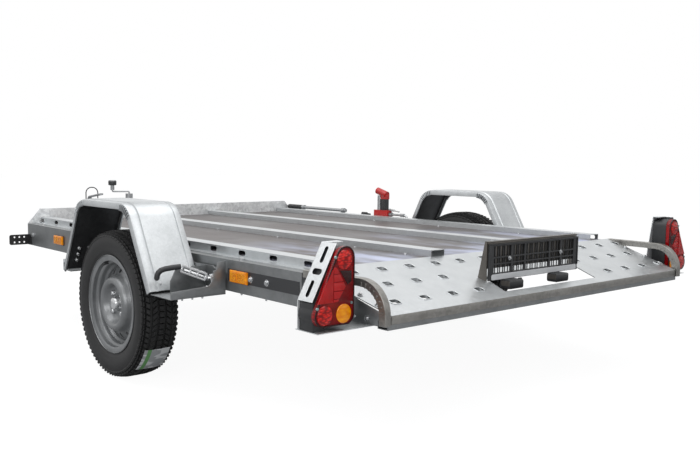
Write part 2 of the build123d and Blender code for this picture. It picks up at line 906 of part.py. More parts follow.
def rim():
    """Pressed steel wheel: well-base rim, dished disc with vents, hub, cap and wheel bolts."""
    seat = rim_seat_radius
    plane = Plane(origin=(0, wheel_half_track, wheel_radius), x_dir=(1, 0, 0), z_dir=(0, 0, 1))
    axis = Axis((0, wheel_half_track, wheel_radius), (0, 1, 0))
    section = make_face(offset(rim_line(), amount=rim_gauge / 2).edges())
    barrel = revolve(plane * section, axis, 360)
    crest = rim_width / 2 - 4
    disc_line = FilletPolyline(
        (seat - 14, 10),
        (134, 18),
        (108, 24),
        (98, crest),
        (78, crest),
        (66, 28),
        (30, 26),
        radius=5,
    )
    disc_section = make_face(offset(disc_line, amount=2.0).edges())
    disc = revolve(plane * disc_section, axis, 360)
    vents = []
    for index in range(vent_count):
        turn = Location((0, 0, wheel_radius), (0, index * 360 / vent_count, 0))
        hole = Plane.XZ * Location((130, 0)) * SlotOverall(24, 17)
        vents.append(turn * extrude(hole, -1200))
    disc = disc.cut(*vents)
    hub_outline = [(-62, 0), (-62, 38), (16, 38), (21, hub_radius), (25, hub_radius), (25, 0)]
    hub = ring(hub_outline, wheel_half_track, wheel_radius)
    cap_outline = [(24, 0), (24, 29), (52, 27), (56, 20), (56, 0)]
    cap = ring(cap_outline, wheel_half_track, wheel_radius)
    bore = rod(
        (0, wheel_half_track - 90, wheel_radius),
        (0, wheel_half_track + 48, wheel_radius),
        axle_radius + running_clearance,
    )
    bolts = []
    for index in range(wheel_bolt_count):
        angle = radians(45 + index * 360 / wheel_bolt_count)
        x = wheel_bolt_circle / 2 * cos(angle)
        z = wheel_radius + wheel_bolt_circle / 2 * sin(angle)
        bolts.append(bolt_head((x, wheel_half_track + 24, z), (0, 1, 0), 10.0, 16.0))
    return barrel.fuse(disc, hub, cap, *bolts) - bore


# ---------------------------------------------------------------- drawbar and jockey wheel
def drawbar_y(x):
    """Distance of a drawbar beam's centre line from the middle, at a station x."""
    share = (x - deck_front) / (drawbar_nose - deck_front)
    return drawbar_spread + (drawbar_width / 2 + 2 - drawbar_spread) * share


def drawbar_top():
    return drawbar_bottom + drawbar_height


def drawbar_beam():
    """Box beam from the front wall in to the coupling, with its bolted end flange."""
    half = drawbar_width / 2
    start = deck_front + 8
    wall = 4.0
    outline = [
        (start, drawbar_y(start) - half),
        (start, drawbar_y(start) + half),
        (drawbar_nose, drawbar_y(drawbar_nose) + half),
        (drawbar_nose, drawbar_y(drawbar_nose) - half),
    ]
    core = [
        (start - 1, drawbar_y(start) - half + wall),
        (start - 1, drawbar_y(start) + half - wall),
        (drawbar_nose + 1, drawbar_y(drawbar_nose) + half - wall),
        (drawbar_nose + 1, drawbar_y(drawbar_nose) - half + wall),
    ]
    solid = extrude(Plane.XY.offset(drawbar_bottom) * make_face(Polyline(*outline, close=True)),
                    drawbar_height)
    hollow = extrude(Plane.XY.offset(drawbar_bottom + wall) * make_face(Polyline(*core, close=True)),
                     drawbar_height - 2 * wall)
    flange = block(
        deck_front, start,
        drawbar_spread - 75, drawbar_spread + 75,
        drawbar_bottom - 14, drawbar_top() + 12,
    )
    return solid - hollow + flange


def coupling_head():
    """Pressed coupling on the drawbar's nose, with its ball socket open below."""
    top = drawbar_top()
    base = block(drawbar_nose - 150, coupling_x - 24, -40, 40, top, top + 40)
    base = fillet(base.edges().filter_by(Axis.X).group_by(Axis.Z)[-1], 14.0)
    dome = Location((coupling_x, 0, coupling_z)) * Sphere(coupling_radius)
    skirt = rod((coupling_x, 0, coupling_z - 24), (coupling_x, 0, coupling_z), coupling_radius)
    bridge = block(coupling_x - 40, coupling_x, -30, 30, coupling_z - 20, coupling_z + 24)
    body = base + dome + skirt + bridge
    socket = Location((coupling_x, 0, coupling_z)) * Sphere(ball_radius + 1)
    mouth = rod((coupling_x, 0, coupling_z - 60), (coupling_x, 0, coupling_z), ball_radius + 1)
    trim = block(coupling_x - 80, coupling_x + 80, -80, 80, 300, coupling_z - 24)
    return body - socket - mouth - trim


def coupling_lever():
    """Release lever over the coupling."""
    path = Plane.XZ * FilletPolyline(
        (coupling_x - 16, coupling_z + 34),
        (coupling_x - 50, coupling_z + 84),
        (coupling_x - 230, coupling_z + 108),
        radius=22,
    )
    section = Plane(origin=path @ 0, x_dir=(0, 1, 0), z_dir=path % 0) * RectangleRounded(28, 12, 4)
    return sweep(section, path) - Location((coupling_x, 0, coupling_z)) * Sphere(coupling_radius)


def cable_bracket():
    """Flat bar across the coupling that holds both feet of the breakaway cable's loop."""
    seat = drawbar_top() + 40.3
    return block(cable_x - 18, cable_x + 18, -36, cable_left + 14, seat, seat + 4)


def breakaway_cable():
    """Loop of the breakaway cable, standing on its bracket."""
    foot = drawbar_top() + 44.5
    right = cable_left - cable_loop_width
    path = FilletPolyline(
        (cable_x + 8, cable_left, foot),
        (cable_x + 8, cable_left, cable_top),
        (cable_x - 8, right, cable_top),
        (cable_x - 8, right, foot),
        radius=cable_loop_width * 0.48,
    )
    section = Plane(origin=path @ 0, z_dir=path % 0) * Circle(cable_radius)
    return sweep(section, path)


def drawbar_nose_plate():
    """Plate over both beams at the nose, under the coupling."""
    top = drawbar_bottom
    outline = [
        (drawbar_nose - 190, -(drawbar_y(drawbar_nose - 190) + 20)),
        (drawbar_nose - 190, drawbar_y(drawbar_nose - 190) + 20),
        (drawbar_nose, drawbar_width),
        (drawbar_nose, -drawbar_width),
    ]
    face = Plane.XY.offset(top) * make_face(Polyline(*outline, close=True))
    return extrude(face, -5.0)


def jockey_clamp():
    """Split clamp, bolted to the right-hand beam, that grips the jockey wheel's outer tube."""
    z0, z1 = drawbar_bottom + 12, drawbar_top() - 12
    collar = rod((jockey_x, jockey_y, z0), (jockey_x, jockey_y, z1), jockey_tube_radius + 7)
    reach = block(
        jockey_x - 30, jockey_x + 30,
        jockey_y, -drawbar_y(jockey_x) + 10,
        z0, z1,
    )
    outline = [
        (deck_front, -drawbar_y(deck_front) - drawbar_width / 2),
        (drawbar_nose, -drawbar_y(drawbar_nose) - drawbar_width / 2),
        (drawbar_nose, 200),
        (deck_front, 200),
    ]
    beam_side = extrude(Plane.XY.offset(300) * make_face(Polyline(*outline, close=True)), 300)
    screw = rod(
        (jockey_x, jockey_y - 60, (z0 + z1) / 2),
        (jockey_x, jockey_y - jockey_tube_radius - 2, (z0 + z1) / 2),
        6.0,
    )
    knob = rod(
        (jockey_x, jockey_y - 72, (z0 + z1) / 2),
        (jockey_x, jockey_y - 56, (z0 + z1) / 2),
        18.0,
    )
    bore = rod((jockey_x, jockey_y, 300), (jockey_x, jockey_y, 600), jockey_tube_radius)
    return collar + reach - beam_side + screw + knob - bore


def jockey_outer_tube():
    top = jockey_tube_top
    bottom = jockey_crown + jockey_travel + 9
    shell = rod((jockey_x, jockey_y, bottom), (jockey_x, jockey_y, top), jockey_tube_radius)
    bore = rod((jockey_x, jockey_y, bottom - 1), (jockey_x, jockey_y, top - 8), 20.05)
    return shell - bore


def jockey_crank():
    """Cranked handle with its upright knob."""
    knob_x, knob_y = jockey_x + 46, jockey_y + 100
    path = FilletPolyline(
        (jockey_x, jockey_y, jockey_tube_top),
        (jockey_x, jockey_y, jockey_tube_top + 14),
        (knob_x, knob_y, jockey_tube_top + 14),
        (knob_x, knob_y, jockey_tube_top + 40),
        radius=6,
    )
    section = Plane(origin=path @ 0, z_dir=path % 0) * Circle(5)
    arm = sweep(section, path)
    stem = rod((knob_x, knob_y, 616), (knob_x, knob_y, 652), 13)
    head = rod((knob_x, knob_y, 648), (knob_x, knob_y, 682), 26)
    head = fillet(head.edges().filter_by(GeomType.CIRCLE), 7.0)
    return arm + stem + head


def jockey_inner_tube():
    top = jockey_tube_top - 12 - jockey_travel
    bottom = jockey_crown + 0.5
    return rod((jockey_x, jockey_y, bottom), (jockey_x, jockey_y, top), 20.0)


def jockey_fork():
    """Swivelling fork with its trailing axle."""
    z_top = jockey_crown
    trail = 36.0
    crown = block(jockey_x - 62, jockey_x + 26, jockey_y - 34, jockey_y + 34, z_top - 6, z_top)
    fork = crown
    for side in (LEFT, RIGHT):
        y = jockey_y + side * 31
        outline = [
            (jockey_x - 62, z_top),
            (jockey_x + 26, z_top),
            (jockey_x - trail + 16, jockey_wheel_radius - 14),
            (jockey_x - trail - 16, jockey_wheel_radius - 14),
        ]
        plane = Plane.XZ.offset(-y + side * 3)
        fork += extrude(plane * make_face(Polyline(*outline, close=True)), -side * 6)
    axle = rod(
        (jockey_x - trail, jockey_y - 40, jockey_wheel_radius),
        (jockey_x - trail, jockey_y + 40, jockey_wheel_radius),
        7.0,
    )
    return fork + axle


def jockey_wheel():
    x = jockey_x - 36
    y = jockey_y
    r = jockey_wheel_radius
    body = rod((x, y - 22, r), (x, y + 22, r), r)
    body = fillet(body.edges().filter_by(GeomType.CIRCLE), 12.0)
    bore = rod((x, y - 40, r), (x, y + 40, r), 7.0 + running_clearance)
    for side in (LEFT, RIGHT):
        dish = rod((x, y + side * 12, r), (x, y + side * 30, r), 58)
        hub_keep = rod((x, y + side * 12, r), (x, y + side * 30, r), 20)
        body -= dish - hub_keep
    return body - bore


# ---------------------------------------------------------------- hand pump
pump_x = 455.0
pump_y = -842.0
grip_start = 1182.0
pipe_drop_x = 268.0


def pump_body():
    """Pump base, foot and lever socket, one red casting."""
    z = step_height + sheet
    base = block(pump_x - 62, pump_x + 70, pump_y - 30, pump_y + 30, z, z + 10)
    body = block(pump_x - 50, pump_x + 56, pump_y - 24, pump_y + 24, z + 10, z + 58)
    body = fillet(body.edges().filter_by(Axis.Z), 10.0)
    return base + body


def pressure_pipe():
    """Steel pipe from the pump's outlet down through the step, with a union nut at the pump."""
    z = step_height + sheet + 36
    start = pump_x - 50.3
    path = FilletPolyline(
        (start, pump_y, z),
        (pipe_drop_x, pump_y, z),
        (pipe_drop_x, pump_y, step_height + sheet + 0.3),
        radius=24,
    )
    section = Plane(origin=path @ 0, z_dir=path % 0) * Circle(6)
    pipe = sweep(section, path)
    nut = extrude(Plane(origin=(start, pump_y, z), z_dir=(-1, 0, 0)) * RegularPolygon(12, 6), 22)
    collar = rod((pipe_drop_x + 50, pump_y, z), (pipe_drop_x + 24, pump_y, z), 9)
    foot_plane = Plane.XY.offset(step_height + sheet + 0.3) * Location((pipe_drop_x, pump_y))
    foot = extrude(foot_plane * RegularPolygon(13, 6), 12)
    return pipe + nut + collar + foot


def pump_socket():
    """Lever head over the plunger, with the handle's socket."""
    z = step_height + sheet + 148
    head = rod((pump_x + 46, pump_y, z + 18), (pump_x - 28, pump_y, z - 4), 19)
    bore = rod((pump_x + 60, pump_y, z + 22), (pump_x - 4, pump_y, z + 3), 12)
    link = block(pump_x - 34, pump_x + 8, pump_y - 14, pump_y + 14, z - 28, z)
    return head - bore + (link - bore)


def pump_plunger():
    z = step_height + sheet + 58
    return rod((pump_x + 28, pump_y, z), (pump_x + 28, pump_y, z + 82), 13)


def pump_pillar():
    z = step_height + sheet + 58
    return block(pump_x - 30, pump_x + 6, pump_y - 14, pump_y + 14, z, z + 62)


def pump_handle():
    z = step_height + 40
    bar = rod((766, pump_y, z), (grip_start, pump_y, z), 9.5)
    return bar


def handle_grip():
    z = step_height + 40
    grip = rod((grip_start, pump_y, z), (grip_start + 128, pump_y, z), 14)
    return fillet(grip.edges().filter_by(GeomType.CIRCLE), 4.0)


def handle_clip(x):
    z = step_height + 40
    seat = step_height + sheet
    foot = block(x - 12, x + 12, pump_y - 16, pump_y + 16, seat, seat + 3)
    stem = block(x - 8, x + 8, pump_y - 4, pump_y + 4, seat, z - 8)
    cup = rod((x - 12, pump_y, z), (x + 12, pump_y, z), 14)
    bore = rod((x - 13, pump_y, z), (x + 13, pump_y, z), 9.5)
    return foot + stem + cup - bore


def handle_clips():
    return together(handle_clip(790), handle_clip(grip_start - 20))


# ---------------------------------------------------------------- assembly
def build_nodes():
    nodes = {}
    for name, side in SIDES.items():
        nodes[f"tyre_{name}"] = mirrored(tyre(), side)
        nodes[f"rim_{name}"] = mirrored(rim(), side)
    nodes["side_members"] = both(side_member())
    nodes["drawbar_beams"] = both(drawbar_beam())
    nodes["fenders"] = both(fender())
    nodes["carrier_arms"] = both(carrier_arm())
    nodes["latch_trays"] = both(latch_tray())
    nodes["guard_hoops"] = both(guard_hoop())
    nodes["lamp_brackets"] = both(lamp_bracket())
    nodes["edge_rails"] = both(edge_rail())
    nodes["floor_rails"] = both(floor_rail())
    nodes["floor_panels"] = floor_panels()
    nodes["front_wall"] = front_wall()
    nodes["cross_members"] = together(
        cross_member(deck_front - sheet - 4, -1),
        cross_member(shaft_x + 300, -1),
        cross_member(deck_rear + sheet + 1, 1),
    )
    nodes["cylinder_cross_member"] = cylinder_member()
    nodes["shaft_bearings"] = both(shaft_bearing())
    nodes["ramp_plate"] = ramp_plate()
    nodes["ramp_sill"] = ramp_sill()
    nodes["ramp_cheeks"] = both(ramp_cheek())
    nodes["tail_lamp_lenses"] = both(tail_lamp_lens())
    nodes["tail_lamp_housings"] = both(tail_lamp_housing())
    nodes["plate_bracket"] = plate_bracket()
    nodes["plate_holder"] = plate_holder()
    nodes["plate_lamps"] = both(plate_lamp())
    nodes["side_markers"] = side_markers()
    nodes["front_outriggers"] = both(front_outrigger())
    nodes["cross_shaft"] = cross_shaft()
    nodes["axle_stubs"] = both(axle_stub())
    nodes["fender_brackets"] = both(fender_bracket_front())
    nodes["toggle_latches"] = both(toggle_latch())
    nodes["latch_grips"] = both(latch_grip() - toggle_latch())
    nodes["position_lamps"] = both(position_lamp())
    nodes["lift_cylinder"] = lift_cylinder()
    nodes["lift_rod"] = lift_rod()
    nodes["drawbar_nose_plate"] = drawbar_nose_plate()
    nodes["coupling_head"] = coupling_head()
    nodes["coupling_lever"] = coupling_lever()
    nodes["cable_bracket"] = cable_bracket()
    nodes["breakaway_cable"] = breakaway_cable()
    nodes["jockey_clamp"] = jockey_clamp()
    nodes["jockey_outer_tube"] = jockey_outer_tube()
    nodes["jockey_crank"] = jockey_crank()
    nodes["jockey_inner_tube"] = jockey_inner_tube()
    nodes["jockey_fork"] = jockey_fork()
    nodes["jockey_wheel"] = jockey_wheel()
    nodes["pump_body"] = pump_body()
    nodes["pressure_pipe"] = pressure_pipe()
    nodes["pump_socket"] = pump_socket() - pump_plunger() - pump_pillar()
    nodes["pump_plunger"] = pump_plunger()
    nodes["pump_pillar"] = pump_pillar()
    nodes["pump_handle"] = pump_handle()
    nodes["handle_grip"] = handle_grip()
    nodes["handle_clips"] = handle_clips()
    return nodes


os.makedirs("parts", exist_ok=True)
to_origin = Location((-origin_x, 0, 0))
for node_name, node_shape in build_nodes().items():
    export_step(to_origin * node_shape, f"parts/{node_name}.step")
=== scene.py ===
import json
import math

import bpy
import bmesh
from mathutils import Matrix, Vector


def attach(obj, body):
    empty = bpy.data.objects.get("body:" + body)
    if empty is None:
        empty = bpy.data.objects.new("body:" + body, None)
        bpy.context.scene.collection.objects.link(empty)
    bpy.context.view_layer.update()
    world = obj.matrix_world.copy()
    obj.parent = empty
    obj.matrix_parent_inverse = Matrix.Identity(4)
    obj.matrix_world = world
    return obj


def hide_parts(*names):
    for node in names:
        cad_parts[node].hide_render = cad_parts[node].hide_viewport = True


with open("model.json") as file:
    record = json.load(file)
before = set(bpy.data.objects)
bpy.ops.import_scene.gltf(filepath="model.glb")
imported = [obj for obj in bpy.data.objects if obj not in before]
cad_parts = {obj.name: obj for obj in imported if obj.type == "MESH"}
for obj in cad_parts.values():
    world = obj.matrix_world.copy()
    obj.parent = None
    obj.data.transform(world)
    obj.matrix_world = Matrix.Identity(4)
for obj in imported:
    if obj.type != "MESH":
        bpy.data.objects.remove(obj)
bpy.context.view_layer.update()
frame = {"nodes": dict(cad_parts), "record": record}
NODES = frame["nodes"]
SCENE = bpy.context.scene
OPS = bpy.ops.mesh

ORIGIN_X = 0.665  # the axle's ground point lies this far behind the frame's origin
SIDES = {"left": 1.0, "right": -1.0}
SEAM = 0.00005  # vertices closer than this are one
WHITE = (1, 1, 1)


# ---- node helpers
class Nodes:
    """Adds and joins nodes in the shader tree of a world or material."""

    def __init__(self, owner, keep=False):
        owner.use_nodes = True
        self.tree = owner.node_tree
        if not keep:
            self.tree.nodes.clear()

    def node(self, kind, inputs=None, **settings):
        made = self.tree.nodes.new("ShaderNode" + kind)
        for key, value in settings.items():
            setattr(made, key, value)
        for key, value in (inputs or {}).items():
            self.put(made.inputs[key], value)
        return made

    def put(self, socket, value):
        """Joins an output to a socket, or sets the socket's own value."""
        if isinstance(value, bpy.types.NodeSocket):
            self.tree.links.new(value, socket)
        else:
            socket.default_value = (*value, 1) if socket.type == "RGBA" else value

    def math(self, operation, *values):
        made = self.node("Math", operation=operation)
        for socket, value in zip(made.inputs, values):
            self.put(socket, value)
        return made.outputs[0]

    def mixed(self, factor, first, second):
        return self.node("MixShader", {0: factor, 1: first, 2: second}).outputs[0]


class Maker(Nodes):
    """A material whose patterns follow the piece's own coordinates."""

    def __init__(self, name):
        self.material = bpy.data.materials.new(name)
        super().__init__(self.material, keep=True)
        self.shader = self.tree.nodes["Principled BSDF"]
        self.coords = self.node("TexCoord").outputs["Object"]

    def mapped(self, scale):
        return self.node("Mapping", {"Scale": scale, "Vector": self.coords}).outputs[0]

    def noise(self, scale, detail=3.0, rough=0.55, vector=None):
        return self.node("TexNoise", {"Scale": scale, "Detail": detail, "Roughness": rough,
                                      "Vector": vector or self.coords}).outputs["Fac"]

    def cells(self, scale, vector=None, output="Color"):
        return self.node("TexVoronoi", {"Scale": scale,
                                        "Vector": vector or self.coords}).outputs[output]

    def ramp(self, source, *stops):
        made = self.node("ValToRGB", {0: source})
        for element, (place, colour) in zip(made.color_ramp.elements, stops):
            element.position = place
            element.color = (*colour, 1)
        return made.outputs[0]

    def span(self, source, low, high, start=0.0, end=1.0):
        return self.node("MapRange", {"Value": source, "From Min": start, "From Max": end,
                                      "To Min": low, "To Max": high}).outputs[0]

    def blend(self, factor, a, b):
        return self.node("Mix", {0: factor, 6: a, 7: b}, data_type="RGBA").outputs[2]

    def axes(self):
        return self.node("SeparateXYZ", {0: self.coords}).outputs

    def bump(self, height, strength, distance):
        made = self.node("Bump", {"Strength": strength, "Distance": distance, "Height": height})
        self.put(self.shader.inputs["Normal"], made.outputs[0])

    def finish(self, colour, rough, metal, **constants):
        values = {"Base Color": colour, "Roughness": rough, "Metallic": metal}
        values.update((key.replace("_", " "), value) for key, value in constants.items())
        for key, value in values.items():
            self.put(self.shader.inputs[key], value)
        return self.material


# ---- camera, light and floor
CAMERA_PLACE = (-2.788 - ORIGIN_X, 2.418, 0.831)
CAMERA_ANGLES = (38.901, 5.236, 0.484)  # yaw, pitch and roll in degrees
LENS_MM, SENSOR_MM, LENS_SHIFT = 41.53, 36.0, 0.0791
FILL_TINT, FILL = (0.93, 0.96, 1.0), 0.42
FLOOR_SIZE = 60
FLOOR_TONE, FLOOR_GLOW, FLOOR_SHARE = (0.62, 0.62, 0.62), 1.255, 0.75


def add_camera():
    yaw, pitch, roll = (math.radians(angle) for angle in CAMERA_ANGLES)
    ahead = Vector((math.cos(yaw) * math.cos(pitch), -math.sin(yaw) * math.cos(pitch),
                    -math.sin(pitch)))
    level = Vector((-math.sin(yaw), -math.cos(yaw), 0.0))
    right = level * math.cos(roll) + level.cross(ahead) * math.sin(roll)
    turn = Matrix((right, right.cross(ahead), -ahead)).transposed().to_4x4()
    data = bpy.data.cameras.new("camera")
    data.lens, data.sensor_width, data.shift_x, data.clip_end = LENS_MM, SENSOR_MM, LENS_SHIFT, 60
    camera = bpy.data.objects.new("camera", data)
    camera.matrix_world = Matrix.Translation(CAMERA_PLACE) @ turn
    SCENE.collection.objects.link(camera)
    SCENE.camera = camera


def add_area_lamp(name, place, target, size, power):
    data = bpy.data.lights.new(name, "AREA")
    data.shape = "RECTANGLE"
    data.size, data.size_y = size
    data.energy = power
    lamp = bpy.data.objects.new(name, data)
    lamp.location = place
    lamp.rotation_euler = (Vector(target) - Vector(place)).to_track_quat("-Z", "Y").to_euler()
    SCENE.collection.objects.link(lamp)


def set_world():
    """White to the camera, to gloss and through glass; a cooler fill for all other light."""
    world = bpy.data.worlds.new("studio")
    n = Nodes(world)
    rays = n.node("LightPath").outputs
    seen = n.math("MAXIMUM", rays["Is Camera Ray"], rays["Is Glossy Ray"])
    seen = n.math("MAXIMUM", seen, rays["Is Transmission Ray"])
    fill = n.node("Background", {"Color": FILL_TINT, "Strength": FILL})
    backdrop = n.node("Background", {"Color": WHITE, "Strength": 1.0})
    n.node("OutputWorld", {0: n.mixed(seen, fill.outputs[0], backdrop.outputs[0])})
    SCENE.world = world


def add_floor():
    """A pale floor that keeps the object's shadow and is clear from below."""
    floor = primitive(OPS.primitive_plane_add, size=FLOOR_SIZE)
    floor.name = "studio_floor"
    material = bpy.data.materials.new("pale_floor")
    n = Nodes(material)
    share = n.math("MULTIPLY", n.node("LightPath").outputs["Is Camera Ray"], FLOOR_SHARE)
    matte = n.node("BsdfDiffuse", {"Color": FLOOR_TONE})
    bright = n.node("Emission", {"Color": WHITE, "Strength": FLOOR_GLOW})
    above = n.mixed(share, matte.outputs[0], bright.outputs[0])
    clear = n.node("BsdfTransparent", {"Color": WHITE})
    below = n.node("NewGeometry").outputs["Backfacing"]
    n.node("OutputMaterial", {0: n.mixed(below, above, clear.outputs[0])})
    floor.data.materials.append(material)


# ---- finishes
def zinc(name, dark, light, spangle, cell, rough, metal=0.85):
    """Galvanised steel: spangles of crystal, cloudy dulling and a faint rolled grain."""
    m = Maker(name)
    tone = m.node("RGBToBW", {0: m.cells(cell)}).outputs[0]
    clouds = m.noise(9.0, 4.0, 0.6)
    fine = m.noise(260.0, 2.0, 0.5)
    spread = m.math("MULTIPLY_ADD", tone, spangle, 0.5 - spangle / 2)
    cloudy = m.span(clouds, -0.25, 0.25, 0.25, 0.75)
    colour = m.ramp(m.math("ADD", spread, cloudy), (0.0, dark), (1.0, light))
    roughness = m.math("ADD", m.span(clouds, rough + 0.07, rough - 0.05),
                       m.span(tone, -0.05, 0.05))
    m.bump(m.math("ADD", m.math("MULTIPLY", fine, 0.6), tone), 0.1, 0.0004)
    return m.finish(colour, roughness, metal)


def plywood(name):
    """Brown film-faced board with cloudy satin gloss, and a bluish reflection painted into the
    colour in patches towards the rear.
    """
    m = Maker(name)
    streak = m.noise(5.0, 5.0, 0.6, m.mapped((1.2, 9.0, 9.0)))
    clouds = m.noise(2.6, 3.0, 0.55)
    fine = m.noise(420.0, 2.0, 0.5)
    level = m.math("ADD", m.math("MULTIPLY", streak, 0.55), m.math("MULTIPLY", clouds, 0.45))
    colour = m.ramp(level, (0.32, (0.046, 0.038, 0.037)), (0.68, (0.100, 0.086, 0.083)))
    # painted reflection: a bluish sheen blended into the colour in patches towards the rear
    rearward = m.span(m.axes()[0], 0.0, 1.0, -0.75, -1.55)
    painted_sheen = m.span(m.noise(3.2, 3.0, 0.5, m.mapped((1.0, 2.2, 1.0))), 0.0, 1.0, 0.42, 0.66)
    colour = m.blend(m.math("MULTIPLY", rearward, painted_sheen), colour, (0.52, 0.56, 0.74))
    m.bump(m.math("ADD", fine, m.math("MULTIPLY", streak, 0.4)), 0.18, 0.0006)
    return m.finish(colour, m.span(clouds, 0.34, 0.52, 0.3, 0.7), 0.0, Specular_IOR_Level=0.6)


def clouded(name, colour, rough, dark, clouds, grain, relief, metal=0.0, **constants):
    """A smooth finish whose tone and gloss drift in clouds, over a fine grain."""
    m = Maker(name)
    shade = m.noise(*clouds)
    m.bump(m.noise(grain, 2.0, 0.5), *relief)
    low, high = rough
    darker = tuple(c * dark for c in colour)
    return m.finish(m.blend(shade, darker, colour), m.span(shade, low, high), metal, **constants)


def plastic(name, colour, rough=0.45):
    return clouded(name, colour, (rough - 0.05, rough + 0.08), 0.75, (14.0, 3.0, 0.6), 700.0,
                   (0.12, 0.0003))


def enamel(name, colour, rough=0.3):
    return clouded(name, colour, (rough - 0.06, rough + 0.10), 0.7, (22.0, 3.0, 0.6), 160.0,
                   (0.10, 0.0005), Coat_Weight=0.4, Coat_Roughness=0.12)


def plated(name, colour, rough=0.2):
    return clouded(name, colour, (rough - 0.05, rough + 0.12), 0.72, (60.0, 3.0, 0.55), 500.0,
                   (0.05, 0.0003), 1.0)


def lens(name, colour, deep, rough=0.12, ribs=420.0):
    """Moulded acrylic with fine flutes."""
    m = Maker(name)
    wave = m.math("SINE", m.math("MULTIPLY", m.axes()[1], ribs * 2 * math.pi))
    level = m.math("ADD", m.math("MULTIPLY", wave, 0.22), m.noise(30.0, 2.0, 0.5))
    m.bump(wave, 0.5, 0.0008)
    return m.finish(m.blend(m.span(level, 0, 1, 0.25, 0.9), deep, colour), rough, 0.0,
                    Transmission_Weight=0.06, Coat_Weight=0.15, Coat_Roughness=0.05,
                    Specular_IOR_Level=0.22)


def moulded_lens(name, colour, deep, cell=95.0):
    """Acrylic with moulded pillows that catch the light unevenly."""
    m = Maker(name)
    pillows = m.cells(cell, m.mapped((1.0, 0.8, 2.0)), "Distance")
    level = m.math("ADD", m.math("MULTIPLY", pillows, 0.9),
                   m.math("MULTIPLY", m.noise(60.0, 2.0, 0.5), 0.55))
    m.bump(pillows, 0.6, 0.0012)
    return m.finish(m.blend(m.span(level, 0, 1, 0.35, 0.95), colour, deep), 0.12, 0.0,
                    Coat_Weight=0.2, Coat_Roughness=0.04, Specular_IOR_Level=0.3)


def wheel_silver(name):
    m = Maker(name)
    shade = m.noise(12.0, 3.0, 0.55)
    flake = m.noise(900.0, 1.0, 0.5)
    colour = m.blend(m.span(shade, 0, 1, 0.3, 0.7), (0.165, 0.171, 0.176), (0.235, 0.242, 0.248))
    m.bump(flake, 0.06, 0.0003)
    return m.finish(colour, m.span(flake, 0.34, 0.44), 0.55, Coat_Weight=0.25, Coat_Roughness=0.2)


def tyre_rubber(name):
    m = Maker(name)
    dust = m.noise(34.0, 4.0, 0.6)
    colour = m.blend(m.span(dust, 0, 1, 0.35, 0.75), (0.0055, 0.0055, 0.006),
                     (0.0135, 0.0135, 0.014))
    m.bump(m.noise(600.0, 2.0, 0.6), 0.12, 0.0004)
    return m.finish(colour, m.span(dust, 0.52, 0.68), 0.0)


def paper_label(name):
    """Pale blank paper with a green band and soft grey blocks, none of them lettering."""
    m = Maker(name)
    blocks = m.noise(46.0, 1.0, 0.4, m.mapped((1.0, 0.5, 1.6)))
    grey = m.ramp(blocks, (0.46, (0.62, 0.63, 0.64)), (0.50, (0.34, 0.35, 0.36)))
    green = m.math("COMPARE", m.axes()[1], 1.028, 0.008)
    m.bump(m.noise(240.0, 2.0, 0.5), 0.1, 0.0003)
    return m.finish(m.blend(green, grey, (0.12, 0.30, 0.10)), 0.6, 0.0)


FINISHES = {name: kind(name, *values) for name, kind, *values in (
    # painted shade: near-black zinc for the sheets that stand in for the shade inside the fenders
    ("fender_inside", zinc, (0.034, 0.035, 0.037), (0.105, 0.108, 0.112), 0.3, 90.0, 0.5),
    ("weathered_zinc", zinc, (0.17, 0.165, 0.155), (0.36, 0.35, 0.33), 0.45, 90.0, 0.40),
    ("galvanised_frame", zinc, (0.150, 0.156, 0.160), (0.33, 0.34, 0.345), 0.16, 95.0, 0.40),
    ("galvanised_bright", zinc, (0.46, 0.48, 0.49), (0.66, 0.68, 0.69), 0.14, 120.0, 0.36),
    ("spangled_zinc", zinc, (0.50, 0.51, 0.52), (0.94, 0.95, 0.95), 0.6, 70.0, 0.46, 0.6),
    ("fender_zinc", zinc, (0.36, 0.375, 0.385), (0.60, 0.62, 0.63), 0.30, 170.0, 0.40),
    ("bracket_grey", zinc, (0.085, 0.078, 0.070), (0.17, 0.158, 0.145), 0.1, 90.0, 0.42),
    ("lamp_bracket_zinc", zinc, (0.52, 0.54, 0.55), (0.80, 0.82, 0.83), 0.35, 170.0, 0.42),
    ("number_plate", zinc, (0.62, 0.63, 0.64), (0.78, 0.79, 0.80), 0.1, 60.0, 0.45, 0.2),
    ("plywood", plywood),
    ("lamp_lens", lens, (0.40, 0.004, 0.006), (0.13, 0.0012, 0.002)),
    ("clear_lens", lens, (0.80, 0.82, 0.84), (0.46, 0.48, 0.50), 0.12, 200.0),
    ("lamp_dark", lens, (0.050, 0.002, 0.003), (0.018, 0.001, 0.001), 0.16, 260.0),
    ("lamp_reflector", lens, (0.74, 0.008, 0.010), (0.46, 0.004, 0.005), 0.14, 620.0),
    ("amber_lens", moulded_lens, (1.0, 0.40, 0.003), (0.86, 0.24, 0.001), 60.0),
    ("amber_bright", moulded_lens, (1.0, 0.46, 0.004), (0.62, 0.14, 0.001), 110.0),
    ("lamp_bright", moulded_lens, (0.95, 0.020, 0.012), (0.22, 0.002, 0.002)),
    ("black_plastic", plastic, (0.020, 0.021, 0.023)),
    ("side_band", plastic, (0.030, 0.031, 0.034), 0.4),
    ("rubber_wheel", plastic, (0.022, 0.022, 0.022), 0.6),
    ("black_steel", enamel, (0.016, 0.016, 0.017), 0.35),
    ("red_enamel", enamel, (0.55, 0.012, 0.010), 0.28),
    ("cylinder_paint", enamel, (0.022, 0.023, 0.025), 0.3),
    ("zinc_plated", plated, (0.46, 0.47, 0.48), 0.26),
    ("crank", plated, (0.40, 0.41, 0.42), 0.3),
    ("bright_steel", plated, (0.66, 0.67, 0.68), 0.22),
    ("screw_teal", plated, (0.42, 0.56, 0.56), 0.3),
    ("tyre", tyre_rubber),
    ("wheel_silver", wheel_silver),
    ("paper_label", paper_label),
)}


